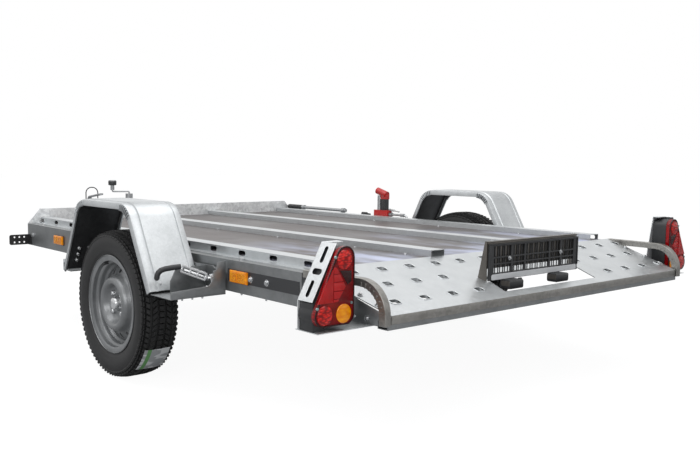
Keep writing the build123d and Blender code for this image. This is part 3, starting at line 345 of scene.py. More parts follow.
def dress_cad_nodes():
    for entry in frame["record"]["subparts"]:
        piece = NODES[entry["node"]]
        finish = FINISHES[entry["material_slot"]]
        if not piece.data.materials:
            piece.data.materials.append(finish)
        for index in range(len(piece.data.materials)):
            piece.data.materials[index] = finish


# ---- modelling helpers
def spot(x, y, z):
    """A place in millimetres from the ground point between the wheels, in the frame's metres."""
    return Vector((x / 1000 - ORIGIN_X, y / 1000, z / 1000))


def clear_selection():
    bpy.ops.object.select_all(action="DESELECT")


def take(piece):
    """Selects one piece alone and makes it the active one."""
    clear_selection()
    piece.select_set(True)
    bpy.context.view_layer.objects.active = piece


def settle():
    """Applies the selected piece's place, turn and size to its mesh, and returns it."""
    bpy.ops.object.transform_apply(location=True, rotation=True, scale=True)
    return bpy.context.object


def primitive(add, place=(0, 0, 0), scale=None, **settings):
    """A basic mesh from its operator, alone, with its place and size applied."""
    clear_selection()
    add(location=place, **settings)
    if scale:
        bpy.context.object.scale = scale
    return settle()


def applied(piece, kind, **settings):
    """Gives a piece a modifier with these settings and applies it."""
    modifier = piece.modifiers.new(kind.lower(), kind)
    for key, value in settings.items():
        setattr(modifier, key, value)
    bpy.context.view_layer.objects.active = piece
    bpy.ops.object.modifier_apply(modifier=modifier.name)


def select_mesh(action="SELECT"):
    OPS.select_all(action=action)


def extrude(step):
    OPS.extrude_region_move(TRANSFORM_OT_translate={"value": Vector(step)})


def leave_edit():
    bpy.ops.object.mode_set(mode="OBJECT")


def seal(merge=SEAM):
    """Merges the seam and poles, turns the faces outwards and leaves edit mode."""
    select_mesh()
    if merge:
        OPS.remove_doubles(threshold=merge)
    OPS.normals_make_consistent(inside=False)
    leave_edit()


def block(x0, x1, y0, y1, z0, z1, edge=0.0, segments=2):
    """A box with eased edges between two corners, in millimetres."""
    low, high = spot(x0, y0, z0), spot(x1, y1, z1)
    piece = primitive(OPS.primitive_cube_add, (low + high) / 2,
                      [abs(value) for value in high - low], size=1)
    if edge:
        ease(piece, edge, segments)
    return piece


def ease(piece, width, segments=2, angle=35):
    """Rounds the sharp edges of a piece."""
    applied(piece, "BEVEL", width=width / 1000, segments=segments, limit_method="ANGLE",
            angle_limit=math.radians(angle))


def bar(start, end, radius, sides=20, edge=0.0):
    """A round bar between two places in millimetres."""
    clear_selection()
    a, b = spot(*start), spot(*end)
    OPS.primitive_cylinder_add(vertices=sides, radius=radius / 1000,
                                        depth=(b - a).length, location=(a + b) / 2)
    piece = bpy.context.object
    piece.rotation_mode = "QUATERNION"
    piece.rotation_quaternion = (b - a).to_track_quat("Z", "Y")
    settle()
    if edge:
        ease(piece, edge, 2, 50)
    return piece


def drawn_line(places, closed=False):
    """A chain of edges extruded from one vertex through the places; stays in edit mode."""
    piece = primitive(OPS.primitive_plane_add, places[0], size=0.01)
    bpy.ops.object.mode_set(mode="EDIT")
    OPS.select_mode(type="VERT")
    select_mesh()
    OPS.merge(type="CENTER")
    route = list(places) + ([places[0]] if closed else [])
    for here, there in zip(route, route[1:]):
        extrude(there - here)
    select_mesh()
    if closed:
        OPS.remove_doubles(threshold=0.00002)
    return piece


def plate(places, thickness, edge=0.0, segments=2):
    """A flat outline filled and extruded by a thickness vector."""
    piece = drawn_line(places, closed=True)
    OPS.edge_face_add()
    extrude(thickness)
    seal(merge=None)
    if edge:
        ease(piece, edge, segments)
    return piece


def revolve(steps, centre, axis=(0, 1, 0), angle=2 * math.pi):
    """Spins what is selected round an axis, once unless an angle is given."""
    OPS.spin(steps=steps, angle=angle, center=centre, axis=axis)


def turned(profile, centre, axis=(0, 1, 0), steps=32):
    """A closed shape spun once round an axis from a line of (along, radius) steps in mm."""
    middle = spot(*centre)
    along = Vector(axis).normalized()
    out = Vector((0, 0, 1)) if abs(along.z) < 0.9 else Vector((1, 0, 0))
    places = [middle + along * (a / 1000) + out * (r / 1000) for a, r in profile]
    piece = drawn_line(places)
    revolve(steps, middle, along)
    seal()
    return piece


def pick(piece, wanted):
    """Selects the faces whose centre and normal pass a test, and stays in edit mode."""
    take(piece)
    bpy.ops.object.mode_set(mode="EDIT")
    OPS.select_mode(type="FACE")
    select_mesh("DESELECT")
    mesh = bmesh.from_edit_mesh(piece.data)
    for face in mesh.faces:
        face.select_set(wanted(face.calc_center_median(), face.normal))
    bmesh.update_edit_mesh(piece.data)


def joined(pieces):
    """Several meshes as one."""
    clear_selection()
    for piece in pieces:
        piece.select_set(True)
    bpy.context.view_layer.objects.active = pieces[0]
    if len(pieces) > 1:
        bpy.ops.object.join()
    return bpy.context.view_layer.objects.active


def twin_of(piece):
    """A copy with a mesh of its own."""
    twin = piece.copy()
    twin.data = piece.data.copy()
    SCENE.collection.objects.link(twin)
    return twin


def copied(master, moves):
    """Copies of the master at each move, joined; the master goes."""
    copies = []
    for move in moves:
        copies.append(twin_of(master))
        copies[-1].matrix_world = move
    bpy.data.objects.remove(master)
    take(joined(copies))
    return settle()


def other_side(piece):
    """A mirrored copy for the right-hand side."""
    twin = twin_of(piece)
    take(twin)
    twin.scale = (1, -1, 1)
    settle()
    bpy.ops.object.mode_set(mode="EDIT")
    seal(merge=None)
    return twin


def both_sides(piece):
    """A left-hand piece and its mirrored twin as one."""
    return joined([piece, other_side(piece)])


def pair(pieces, *about, **settings):
    """Pieces of the left side joined, doubled for the right side and handed over."""
    return done(both_sides(joined(pieces)), *about, **settings)


def done(piece, name, body, slot, finish=None, smooth=32):
    """Names, shades, colours and hands over a finished piece."""
    take(piece)
    settle()
    piece.name = name
    if smooth:
        bpy.ops.object.shade_smooth_by_angle(angle=math.radians(smooth))
    piece.data.materials.clear()
    piece.data.materials.append(FINISHES[finish or slot])
    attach(piece, body)
    return piece


# ---- wheels
AXLE_HEIGHT = 280.0
TYRE_CENTRE = (0.0, 997.0, AXLE_HEIGHT)
WHEEL_HUB = spot(*TYRE_CENTRE)
BOLT_CIRCLE, BOLT_SEAT = 50.0, 1021.0
LABEL_GAUGE, LABEL_RADIUS, LABEL_CROWN = 0.6, 281.2, 0.0009
LABEL_START, LABEL_SWEEP = math.radians(-119), math.radians(23)
TREAD_STEPS = 80
TREAD_STEP = 2 * math.pi / TREAD_STEPS
TREAD_OUTLINE = [  # offset from the middle, radius, lead of the pattern in steps
    (10.5, 273.0, 0.30), (17.5, 273.0, 0.45), (38.0, 272.5, -0.25), (44.5, 271.5, -0.25),
    (60.0, 267.5, 0.15), (66.0, 263.0, 0.35), (72.0, 254.0, 0.45),
]
TREAD_ROWS = (  # blocks between two offsets and over a radius, their gap and height
    (-1, 9, 270, 2.0, 7.0), (18, 37, 270, 2.1, 7.0), (45, 59, 265, 2.4, 7.0),
    (60, 65.9, 262, 2.4, 5.5), (66.1, 71.9, 254, 2.6, 4.0),
)
WALL_OUTLINE = [
    (74.5, 246.0), (76.0, 235.0), (75.4, 226.0), (73.2, 214.0), (70.2, 204.0), (68.8, 200.0),
    (66.4, 198.0), (63.8, 191.0), (61.0, 185.0), (60.7, 172.0), (56.0, 167.9), (49.7, 168.5),
    (49.7, 196.0), (60.0, 216.0), (64.0, 232.0), (56.0, 255.0), (36.0, 262.0), (0.0, 263.5),
]


def on_wheel(offset, radius, lead=0.0):
    """A place on the left wheel: across, out from the axle, and ahead in tread steps."""
    turn = lead * TREAD_STEP
    return WHEEL_HUB + Vector((radius * math.sin(turn), offset, radius * math.cos(turn))) / 1000


def tyre():
    """One tyre: its section spun round the axle, then blocks raised on the tread."""
    outline = TREAD_OUTLINE + WALL_OUTLINE
    mirrored = [on_wheel(-offset, *rest) for offset, *rest in outline[-2::-1]]
    piece = drawn_line(mirrored + [on_wheel(*point) for point in outline], closed=True)
    revolve(TREAD_STEPS, WHEEL_HUB)
    seal()

    def ribs(low, high, least):
        def wanted(middle, normal):
            offset = abs(middle.y - WHEEL_HUB.y) * 1000
            spoke = Vector((middle.x - WHEEL_HUB.x, 0, middle.z - WHEEL_HUB.z))
            outward = normal.dot(spoke.normalized())
            return low < offset < high and spoke.length * 1000 > least and outward > 0.2
        return wanted

    for low, high, least, gap, height in TREAD_ROWS:
        pick(piece, ribs(low, high, least))
        OPS.inset(thickness=gap / 1000, depth=height / 1000, use_individual=True)
        leave_edit()
    return piece


def wheels():
    """Both tyres with the bolts, cap and valve of each wheel."""
    left = tyre()
    right = other_side(left)
    done(left, "left_tyre_with_tread", "wheel_left", "tyre", smooth=30)
    done(right, "right_tyre_with_tread", "wheel_right", "tyre", smooth=30)
    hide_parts("tyre_left")
    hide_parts("tyre_right")
    for side, sign in SIDES.items():
        nut = turned([(0, 0), (0, 10.5), (4, 12.5), (7, 10.2), (16, 9.6), (19, 7.5), (20.5, 0)],
                     (0, 0, 0), steps=14)
        facing = Matrix.Rotation(0 if sign > 0 else math.pi, 4, "Z")
        moves = []
        for index in range(4):
            angle = math.radians(45 + 90 * index)
            place = spot(BOLT_CIRCLE * math.cos(angle), sign * BOLT_SEAT,
                         AXLE_HEIGHT + BOLT_CIRCLE * math.sin(angle))
            moves.append(Matrix.Translation(place) @ facing @ Matrix.Translation(-spot(0, 0, 0)))
        nuts = copied(nut, moves)
        done(nuts, f"{side}_wheel_bolts", f"wheel_{side}", "zinc_plated", "bright_steel")
        cap = turned([(0, 0), (0, 30), (5, 31), (9, 28), (22, 26), (30, 22), (34, 15), (35, 0)],
                     (0, sign * (BOLT_SEAT + 1), AXLE_HEIGHT), axis=(0, sign, 0), steps=28)
        done(cap, f"{side}_hub_cap", f"wheel_{side}", "zinc_plated", "bright_steel")
        valve = bar((58, sign * 1036, 430), (62, sign * 1062, 424), 4.2, 12, 1.0)
        done(valve, f"{side}_tyre_valve", f"wheel_{side}", "black_plastic")


def tyre_label():
    """Blank paper label stuck round the tread at the back of the left tyre."""
    piece = drawn_line([
        on_wheel(offset, LABEL_RADIUS - LABEL_CROWN * offset * offset, LABEL_START / TREAD_STEP)
        for offset in (-52, -30, -10, 10, 30, 52)])
    revolve(8, WHEEL_HUB, angle=LABEL_SWEEP)
    seal(merge=None)
    thicken(piece, LABEL_GAUGE)
    done(piece, "left_tyre_label", "wheel_left", "clear_lens", "paper_label")


# ---- bolts
def post(radius, depth, height, sides, edge=0.0):
    """A short cylinder along the frame's Z axis, its middle at a height in millimetres."""
    piece = primitive(OPS.primitive_cylinder_add, (0, 0, height / 1000),
                      vertices=sides, radius=radius / 1000, depth=depth / 1000)
    if edge:
        ease(piece, edge, 1, 40)
    return piece


def bolt_master(radius, stud=False):
    """A hexagon head on its washer, with the stud's tip if wanted, standing along +Z."""
    pieces = [post(radius, radius * 0.9, radius * 0.6, 6, radius * 0.13),
              post(radius * 1.42, radius * 0.3, radius * 0.14, 14)]
    if stud:
        pieces.append(post(radius * 0.5, radius * 1.1, radius * 1.4, 10, radius * 0.12))
    return joined(pieces)


def bolts(name, body, places, radius, stud=False):
    """Bolts at places (x, y, z, direction), in millimetres."""
    moves = [Matrix.Translation(spot(x, y, z))
             @ Vector(direction).to_track_quat("Z", "Y").to_matrix().to_4x4()
             for x, y, z, direction in places]
    piece = copied(bolt_master(radius, stud), moves)
    done(piece, name, body, "zinc_plated", "bright_steel", smooth=25)


OUT, UP, DOWN, BACK = (0, 1, 0), (0, 0, 1), (0, 0, -1), (-1, 0, 0)
RAMP_UP = (-0.294, 0, 0.956)


def all_bolts():
    """The bolts of the left side, each set with its twin on the right."""
    inward = tuple(-part for part in fender_normal(1))
    rearward = fender_normal(-1)
    rows = (
        ("frame_bolts", "chassis", 8.0, False,
         [(x, 877.0, 436, OUT) for x in (-652, -740, 1250)]
         + [(x, 849, 490, UP) for x in (-560, -120, 320, 760, 1180)]),
        ("ramp_bolts", "chassis", 6.5, False,
         [(x, y, z, RAMP_UP) for x, y, z in ((-1103, 812, 441.5), (-1170, 806, 421),
                                             (-1012, 822, 469.5))]),
        ("tray_bolt_tips", "swing_axle", 7.0, True,
         [(-470, y, 369.5, DOWN) for y in (950, 990, 1030)]),
        ("frame_bolt_tips", "chassis", 6.5, True, [(x, 850, 382, DOWN) for x in (-560, -700)]),
        ("cheek_bolts", "chassis", 6.0, False, [(x, 829, 382, OUT) for x in (-1150, -1103)]),
        ("floor_screws", "chassis", 5.0, False,
         [(x, y, RAMP_TOP, UP) for x in (-820, -560, -80, 380, 860, 1260) for y in (325, 700)]),
        ("carrier_bolts", "swing_axle", 8.5, True,
         [(x, 893, 424, OUT) for x in (-440, 120, -120, 400)]),
        ("fender_leg_bolts", "swing_axle", 6.5, True,
         [(x_on_leg(z, 1) + 8.0 * inward[0], y, z, inward)
          for y in (1008, 1050) for z in (415, 440.2, 465.4)]),
        ("fender_foot_rivets", "swing_axle", 5.0, False,
         [(x_on_leg(402, -1), y, 402, rearward) for y in (1052, 930)]),
    )
    for name, body, radius, stud, places in rows:
        right = [(x, -y, z, (d[0], -d[1], d[2])) for x, y, z, d in places]
        bolts(name, body, places + right, radius, stud)


def fender_normal(side):
    """Outward normal of a fender's leg; side is 1 at the front and -1 at the rear."""
    run = side * (FENDER_FOOT[side] - FENDER_CORNER[side])
    length = math.hypot(run, FENDER_RISE)
    return (side * FENDER_RISE / length, 0.0, run / length)


def x_on_leg(z, side):
    """Station of a fender leg's outer face at a height."""
    corner = FENDER_CORNER[side]
    return corner + (FENDER_FOOT[side] - corner) * ((FENDER_TOP - z) / FENDER_RISE)


# ---- folded sheet
BEND_STEP = 7.0  # degrees of a bend to each strip of mesh


def swept(profile, moves, closed=False):
    """A profile line carried along runs and bends; stays in edit mode."""
    piece = drawn_line(profile, closed)
    for move in moves:
        if len(move) == 1:
            extrude(move[0])
        else:
            revolve(max(3, round(abs(math.degrees(move[2])) / BEND_STEP)), *move)
    return piece


def thicken(piece, gauge, offset=-1.0):
    """Gives an open sheet its thickness, on the inside by default."""
    applied(piece, "SOLIDIFY", thickness=gauge / 1000, offset=offset)


def ridge(size, edge):
    """A small eased bar at the frame's origin, its size in metres."""
    piece = primitive(OPS.primitive_cube_add, scale=size, size=1)
    ease(piece, edge, 1)
    return piece


def cut_out(piece, cutters):
    """Removes the cutters' shapes from a piece."""
    cutter = joined(cutters)
    clear_selection()
    applied(piece, "BOOLEAN", operation="DIFFERENCE", object=cutter)
    bpy.data.objects.remove(cutter)


# ---- fenders
FENDER_CORNER = {1: 205.0, -1: -212.0}  # stations at the front (1) and the rear (-1)
FENDER_FOOT = {1: 352.0, -1: -376.0}
FENDER_FOOT_HEIGHT, FENDER_TOP, FENDER_BEND = 380.0, 672.0, 90.0
FENDER_RISE = FENDER_TOP - FENDER_FOOT_HEIGHT
# the lining values place a dark sheet under each arch that paints the shade inside it
FENDER_GAUGE, SHADE_SHEET_GAUGE, SHADE_SHEET_DROP, SHADE_SHEET_EDGES = 2.0, 0.8, 6.4, (901, 1092)
# the second size is for thin dark bars between the crimps that paint the shadows in the folds
CRIMP_SIZE, FOLD_SHADOW_SIZE = (0.022, 0.0060, 0.0030), (0.024, 0.0026, 0.0024)
CRIMP_COUNT, CRIMP_INSET, LIP_EDGES = 15, 17, ((893, -1), (1100, 1))
FENDER_SECTION = [  # across the tread from the deck outwards, height over the tread
    (899, -24), (893, -24), (893, -9), (895.6, -2.6), (902, 0), (919, 0), (921.5, -3.4),
    (926.5, -3.4), (930, 1.8), (1063, 1.8), (1066.5, -3.4), (1071.5, -3.4), (1074, 0), (1091, 0),
    (1097.4, -2.6), (1100, -9), (1100, -24), (1094, -24),
]


def fender_leg(side):
    """Lean and length of a fender's leg, and how far its bend cuts it short."""
    run = side * (FENDER_FOOT[side] - FENDER_CORNER[side])
    lean = math.atan2(FENDER_RISE, run)
    return lean, math.hypot(FENDER_RISE, run), FENDER_BEND * math.tan(lean / 2)


def fender():
    """Arch folded from sheet with two lips and a raised middle, and a dark sheet under it that
    paints the shade inside the arch.

    The lips are crimped at both bends, and thin dark bars between the crimps, joined to the dark
    sheet, paint the shadows in the folds.
    """
    rear_lean, rear_leg, rear_cut = fender_leg(-1)
    front_lean, front_leg, front_cut = fender_leg(1)
    up_leg = Vector((math.cos(rear_lean), 0, math.sin(rear_lean)))
    down_leg = Vector((math.cos(front_lean), 0, -math.sin(front_lean)))
    outward = Vector((-math.sin(rear_lean), 0, math.cos(rear_lean)))
    foot = spot(FENDER_FOOT[-1], 0, FENDER_FOOT_HEIGHT)
    top_run = FENDER_CORNER[1] - FENDER_CORNER[-1] - rear_cut - front_cut
    rear_hub = spot(FENDER_CORNER[-1] + rear_cut, 0, FENDER_TOP - FENDER_BEND)
    front_hub = spot(FENDER_CORNER[1] - front_cut, 0, FENDER_TOP - FENDER_BEND)
    path = [
        (up_leg * ((rear_leg - rear_cut) / 1000),),
        (rear_hub, (0, 1, 0), -rear_lean),
        (Vector((top_run / 1000, 0, 0)),),
        (front_hub, (0, 1, 0), -front_lean),
        (down_leg * ((front_leg - front_cut) / 1000),),
    ]
    sheets = []
    # the second section is the dark sheet that paints the shade inside the arch
    for section, gauge in ((FENDER_SECTION, FENDER_GAUGE),
                           ([(y, -SHADE_SHEET_DROP) for y in SHADE_SHEET_EDGES], SHADE_SHEET_GAUGE)):
        sheet = swept([foot + Vector((0, y / 1000, 0)) + outward * (h / 1000)
                       for y, h in section], path)
        seal()
        thicken(sheet, gauge)
        sheets.append(sheet)
    crimps, fold_shadows = [], []
    for centre, start, sweep in ((rear_hub, math.pi / 2 + rear_lean, -rear_lean),
                                 (front_hub, math.pi / 2, -front_lean)):
        radius = FENDER_BEND - CRIMP_INSET
        for index in range(CRIMP_COUNT):
            turn = start + sweep * (index + 0.5) / CRIMP_COUNT
            for y, side in LIP_EDGES:
                place = centre + Vector((math.cos(turn) * radius / 1000, y / 1000 + side * 0.0002,
                                         math.sin(turn) * radius / 1000))
                # every other place takes a dark bar that paints the shadow in the fold
                (fold_shadows if index % 2 else crimps).append((place, turn))
    ridges = []
    for places, size in ((crimps, CRIMP_SIZE), (fold_shadows, FOLD_SHADOW_SIZE)):
        moves = [Matrix.Translation(place) @ Matrix.Rotation(-turn, 4, "Y")
                 for place, turn in places]
        ridges.append(copied(ridge(size, 0.6), moves))
    # the dark fold bars join the dark sheet, so they take its painted shade
    return joined([sheets[0], ridges[0]]), joined([sheets[1], ridges[1]])


def fenders():
    """Both fenders, and the dark sheets inside them that paint the shade under the arches."""
    outside, inside = fender()
    # dark sheets that paint the shade inside the arches
    pair([inside], "fender_linings", "swing_axle", "fender_zinc", "fender_inside")
    arches = pair([outside], "folded_fenders", "swing_axle", "fender_zinc", smooth=28)
    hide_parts("fenders")


# ---- ramp, hoops and cheeks
DECK_REAR, RAMP_TOP, RAMP_LENGTH, RAMP_FALL = -914.0, 498.5, 320.0, 98.5
RAMP_SLOPE = math.atan2(RAMP_FALL, RAMP_LENGTH)
HOOP_REAR, HOOP_FOOT, HOOP_BEND = -1240.0, 372.0, 98.0
HOOP_FRONT_Y, HOOP_REAR_Y = 862.0, 833.0
HOOP_WIDTH, HOOP_DEPTH, SHEET, CHAMFER = 25.0, 23.0, 2.5, 1.2
HOOP_CRIMPS, HOOP_CRIMP_SIZE = 8, (0.014, 0.0034, 0.004)
SPLAY = math.atan2(HOOP_FRONT_Y - HOOP_REAR_Y, DECK_REAR - HOOP_REAR)
HOOP_BACK = Vector((-math.cos(SPLAY), -math.sin(SPLAY), 0))
HOOP_OUT = Vector((-math.sin(SPLAY), math.cos(SPLAY), 0))


def hoop_spot(back, out, down):
    """A place in the hoop's own line: back from the deck, outwards and down from the top."""
    corner = spot(DECK_REAR, HOOP_FRONT_Y, RAMP_TOP)
    return corner + (HOOP_BACK * back + HOOP_OUT * out - Vector((0, 0, down))) / 1000


def guard_hoops():
    """Channels bent down at the rear, with crimps round the bend, and the ramp's cheeks."""
    half = HOOP_WIDTH / 2
    section = [(half - CHAMFER, 0), (half, CHAMFER), (half, HOOP_DEPTH), (half - SHEET, HOOP_DEPTH),
               (half - SHEET, SHEET)]
    section = [(-out, down) for out, down in section[2::-1]] + section
    section += [(SHEET - half, SHEET), (SHEET - half, HOOP_DEPTH)]
    run = (DECK_REAR - HOOP_REAR - half * math.sin(SPLAY)) / math.cos(SPLAY)
    profile = [hoop_spot(1, out, down) for out, down in section]
    piece = swept(profile, [
        (HOOP_BACK * ((run - HOOP_BEND - 1) / 1000),),
        (hoop_spot(run - HOOP_BEND, 0, HOOP_BEND), HOOP_OUT, math.pi / 2),
        (Vector((0, 0, -(RAMP_TOP - HOOP_BEND - HOOP_FOOT) / 1000)),),
    ], closed=True)
    select_mesh()
    OPS.remove_doubles(threshold=SEAM)
    OPS.fill_holes(sides=0)
    seal(merge=None)
    ridges = []
    for index in range(HOOP_CRIMPS):
        turn = math.radians(90 * (index + 0.5) / HOOP_CRIMPS)
        back = run - HOOP_BEND + math.sin(turn) * (HOOP_BEND - CRIMP_INSET)
        down = HOOP_BEND - math.cos(turn) * (HOOP_BEND - CRIMP_INSET)
        basis = Matrix.Rotation(SPLAY, 4, "Z") @ Matrix.Rotation(math.pi / 2 - turn, 4, "Y")
        for out in (-half, half):
            ridges.append(Matrix.Translation(hoop_spot(back, out, down)) @ basis)
    crimps = copied(ridge(HOOP_CRIMP_SIZE, 0.7), ridges)
    hoops = pair([piece, crimps], "rear_guard_hoops", "chassis", "galvanised_bright",
                 "weathered_zinc", smooth=28)
    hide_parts("guard_hoops")
    tail = RAMP_LENGTH - 2
    outline = [hoop_spot(4, -half, 5), hoop_spot(tail, -half, 5 + tail * RAMP_FALL / RAMP_LENGTH),
               hoop_spot(tail, -half, RAMP_TOP - SHELF), hoop_spot(4, -half, RAMP_TOP - SHELF)]
    cheek = plate(outline, HOOP_OUT * (-SHEET / 1000), 0.6)
    cheeks = pair([cheek], "ramp_side_cheeks", "chassis", "galvanised_frame")
    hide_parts("ramp_cheeks")


def ramp_spot(along, y, up=0.0):
    """A place on the ramp: down its slope from the deck, across, and over its face."""
    back = along * math.cos(RAMP_SLOPE) + up * math.sin(RAMP_SLOPE)
    drop = along * math.sin(RAMP_SLOPE) - up * math.cos(RAMP_SLOPE)
    return spot(DECK_REAR - back, y, RAMP_TOP - drop)


def rounded_outline(half_x, half_y, radius, steps=4):
    """A rectangle with rounded corners, as (x, y) from its middle."""
    line = []
    for quarter, (sx, sy) in enumerate(((1, 1), (-1, 1), (-1, -1), (1, -1))):
        for k in range(steps + 1):
            turn = math.radians(90 * (quarter + k / steps))
            line.append((sx * (half_x - radius) + radius * math.cos(turn),
                         sy * (half_y - radius) + radius * math.sin(turn)))
    return line


RAMP_ROWS = ((50.0, 713.0, 13), (146.0, 656.0, 12), (252.0, 732.0, 13))  # station, start, count
HOLE_PITCH, RAMP_FRONT_HALF, RAMP_REAR_HALF, RAMP_GAUGE = 128.0, 858, 815, 3.0
HOLE, COLLAR = (12.5, 17, 8), (15.5, 20, 10)  # half length, half width, corner radius
CUTOUT_LEFT, CUTOUT_RIGHT, CUTOUT_START, HOLE_CLEARANCE = 256, -280, 118, 34


def ramp():
    """Sloped tread plate with collared grip holes, a cut-out and a fold along its rear."""
    stretch = math.hypot(RAMP_LENGTH, RAMP_FALL) / RAMP_LENGTH
    run = RAMP_LENGTH * stretch
    down = ramp_spot(0, 0, -RAMP_GAUGE) - ramp_spot(0, 0, 0)
    outline = [(0, -RAMP_FRONT_HALF), (run, -RAMP_REAR_HALF), (run, RAMP_REAR_HALF),
               (0, RAMP_FRONT_HALF)]
    sheet = plate([ramp_spot(s, y) for s, y in outline], down)
    holes = []
    for station, start, count in RAMP_ROWS:
        for index in range(count):
            across = start - index * HOLE_PITCH
            inside = CUTOUT_RIGHT - HOLE_CLEARANCE < across < CUTOUT_LEFT + HOLE_CLEARANCE
            if not (station > CUTOUT_START and inside):
                holes.append((station * stretch, across))
    turn = Matrix.Rotation(-RAMP_SLOPE, 4, "Y")
    moves = [Matrix.Translation(ramp_spot(s, y)) @ turn for s, y in holes]

    def flat(points, z0):
        return [Vector((x / 1000, y / 1000, z0 / 1000)) for x, y in points]

    cutter = plate(flat(rounded_outline(*HOLE), -8), (0, 0, 0.016))
    corners = ((178, 234), (286, CUTOUT_LEFT), (286, CUTOUT_RIGHT), (178, -302))
    notch = plate([ramp_spot(s * stretch, y, -8) for s, y in corners],
                  ramp_spot(0, 0, 16) - ramp_spot(0, 0, 0))
    cut_out(sheet, [copied(cutter, moves), notch])
    ring = drawn_line(flat(rounded_outline(*COLLAR), -9.0), closed=True)
    OPS.edge_face_add()
    OPS.select_mode(type="FACE")
    select_mesh()
    OPS.inset(thickness=0.003, depth=0)
    OPS.delete(type="FACE")
    select_mesh()
    extrude((0, 0, 0.011))
    seal(merge=None)
    ease(ring, 0.7, 1, 40)
    rings = copied(ring, moves)
    rear = DECK_REAR - RAMP_LENGTH
    fold = block(rear, rear + RAMP_GAUGE, -RAMP_REAR_HALF, RAMP_REAR_HALF, 374, 399.6, 0.8)
    done(fold, "ramp_rear_fold", "chassis", "galvanised_bright", "weathered_zinc")
    whole = joined([sheet, rings])
    done(whole, "punched_ramp", "chassis", "galvanised_bright", smooth=30)
    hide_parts("ramp_plate")


# ---- lamps
LAMP_FACE, LENS_DEPTH, BRACKET_FRONT, SHELF = -1165.0, 18.0, -1088.0, 364.0
LENS_CIRCLES = [(928, 563, 33), (921, 405, 26), (1006, 409, 30)]  # y, z and radius of corners
LENS_CORNER_STEPS = 9


def lens_outline(grow=0.0):
    """Outline round the lens's circles, as (y, z)."""
    circles, steps = LENS_CIRCLES, LENS_CORNER_STEPS
    line = []
    for index, (y, z, r) in enumerate(circles):
        before, after = circles[index - 1], circles[(index + 1) % len(circles)]

        def facing(first, second):
            dy, dz = second[0] - first[0], second[1] - first[1]
            lean = math.asin((first[2] - second[2]) / math.hypot(dy, dz))
            return math.atan2(dz, dy) - math.pi / 2 + lean

        start, end = facing(before, circles[index]), facing(circles[index], after)
        while end < start:
            end += 2 * math.pi
        for k in range(steps + 1):
            turn = start + (end - start) * k / steps
            line.append((y + (r + grow) * math.cos(turn), z + (r + grow) * math.sin(turn)))
    return line


def facet(x, outline, depth, edge=0.8, segments=2):
    """A flat shape drawn in (y, z), standing out to the rear by its depth."""
    return plate([spot(x, y, z) for y, z in outline], (-depth / 1000, 0, 0), edge, segments)


def disc(place, radius, depth, facing=(-1, 0, 0), sides=28, dome=0.0):
    """A round piece standing out from a face."""
    profile = [(0, 0), (0, radius), (depth * 0.6, radius), (depth, radius * 0.94)]
    profile += [(depth + dome * 0.6, radius * 0.6), (depth + dome, 0)] if dome else [(depth, 0)]
    return turned(profile, place, facing, sides)


def tail_lamps():
    """Triangular lamps: body, shell behind, dark rim, and the facets behind the lens."""
    face, rear, back = LAMP_FACE, LAMP_FACE + LENS_DEPTH, BRACKET_FRONT - SHEET
    lenses = pair([facet(rear, lens_outline(), LENS_DEPTH, 3.5)],
                  "tail_lamp_bodies", "chassis", "lamp_lens")
    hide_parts("tail_lamp_lenses")
    shell = facet(back, lens_outline(-1.5), back - rear, 1.5)
    box = block(rear, back, 985, 1029, SHELF, 443, 2.5)
    housings = pair([shell, box], "tail_lamp_shells", "chassis", "black_plastic")
    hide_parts("tail_lamp_housings")

    rim = facet(face + 1.5, lens_outline(0.6), 3.0, 0.0)
    pick(rim, lambda middle, normal: normal.x < -0.9)
    OPS.inset(thickness=0.0042, depth=0.0)
    OPS.delete(type="FACE")
    leave_edit()
    pick(rim, lambda middle, normal: normal.x > 0.9)
    OPS.delete(type="FACE")
    leave_edit()
    thicken(rim, 0.7)
    pair([rim], "tail_lamp_rims", "chassis", "lamp_lens", "lamp_dark")

    def bulge(y, z):
        return disc((face + 1, y, z), 27, 4.2, dome=2.5)

    pair([bulge(932, 559), bulge(1002, 411)], "tail_lamp_round_facets", "chassis", "lamp_lens",
         "lamp_bright")
    outer = [(968, 549), (1028, 444), (973, 444), (973, 541)]
    facets = [facet(face + 1, outer, 3.4)]

    def inner_edge(z):
        if z < 485:
            return 955 - (z - 444) * 28 / 41
        return 927 + (z - 485) * 28 / 46

    for low, high in ((444, 451), (453, 473), (475, 498), (500, 520), (522, 540)):
        piece = [(970.5, low), (inner_edge(low), low), (inner_edge(high), high), (970.5, high)]
        if low < 485 < high:
            piece.insert(2, (927, 485))
        facets.append(facet(face + 1, piece, 2.8))
    pair(facets, "tail_lamp_reflectors", "chassis", "lamp_lens", "lamp_reflector")
    dark = facet(face + 1, [(949, 530), (906, 527), (906, 498), (920, 489)], 2.6)
    pair([dark], "tail_lamp_dark_facets", "chassis", "lamp_lens", "lamp_dark")
    pair([bulge(933, 410)], "tail_lamp_amber_facets", "chassis", "amber_lens")
    screws = [disc((face + 1, y, z), 4.2, 3.8, sides=12)
              for y, z in ((965, 567), (905, 438), (1029, 432))]
    pair(screws, "tail_lamp_screws", "chassis", "zinc_plated", "screw_teal")


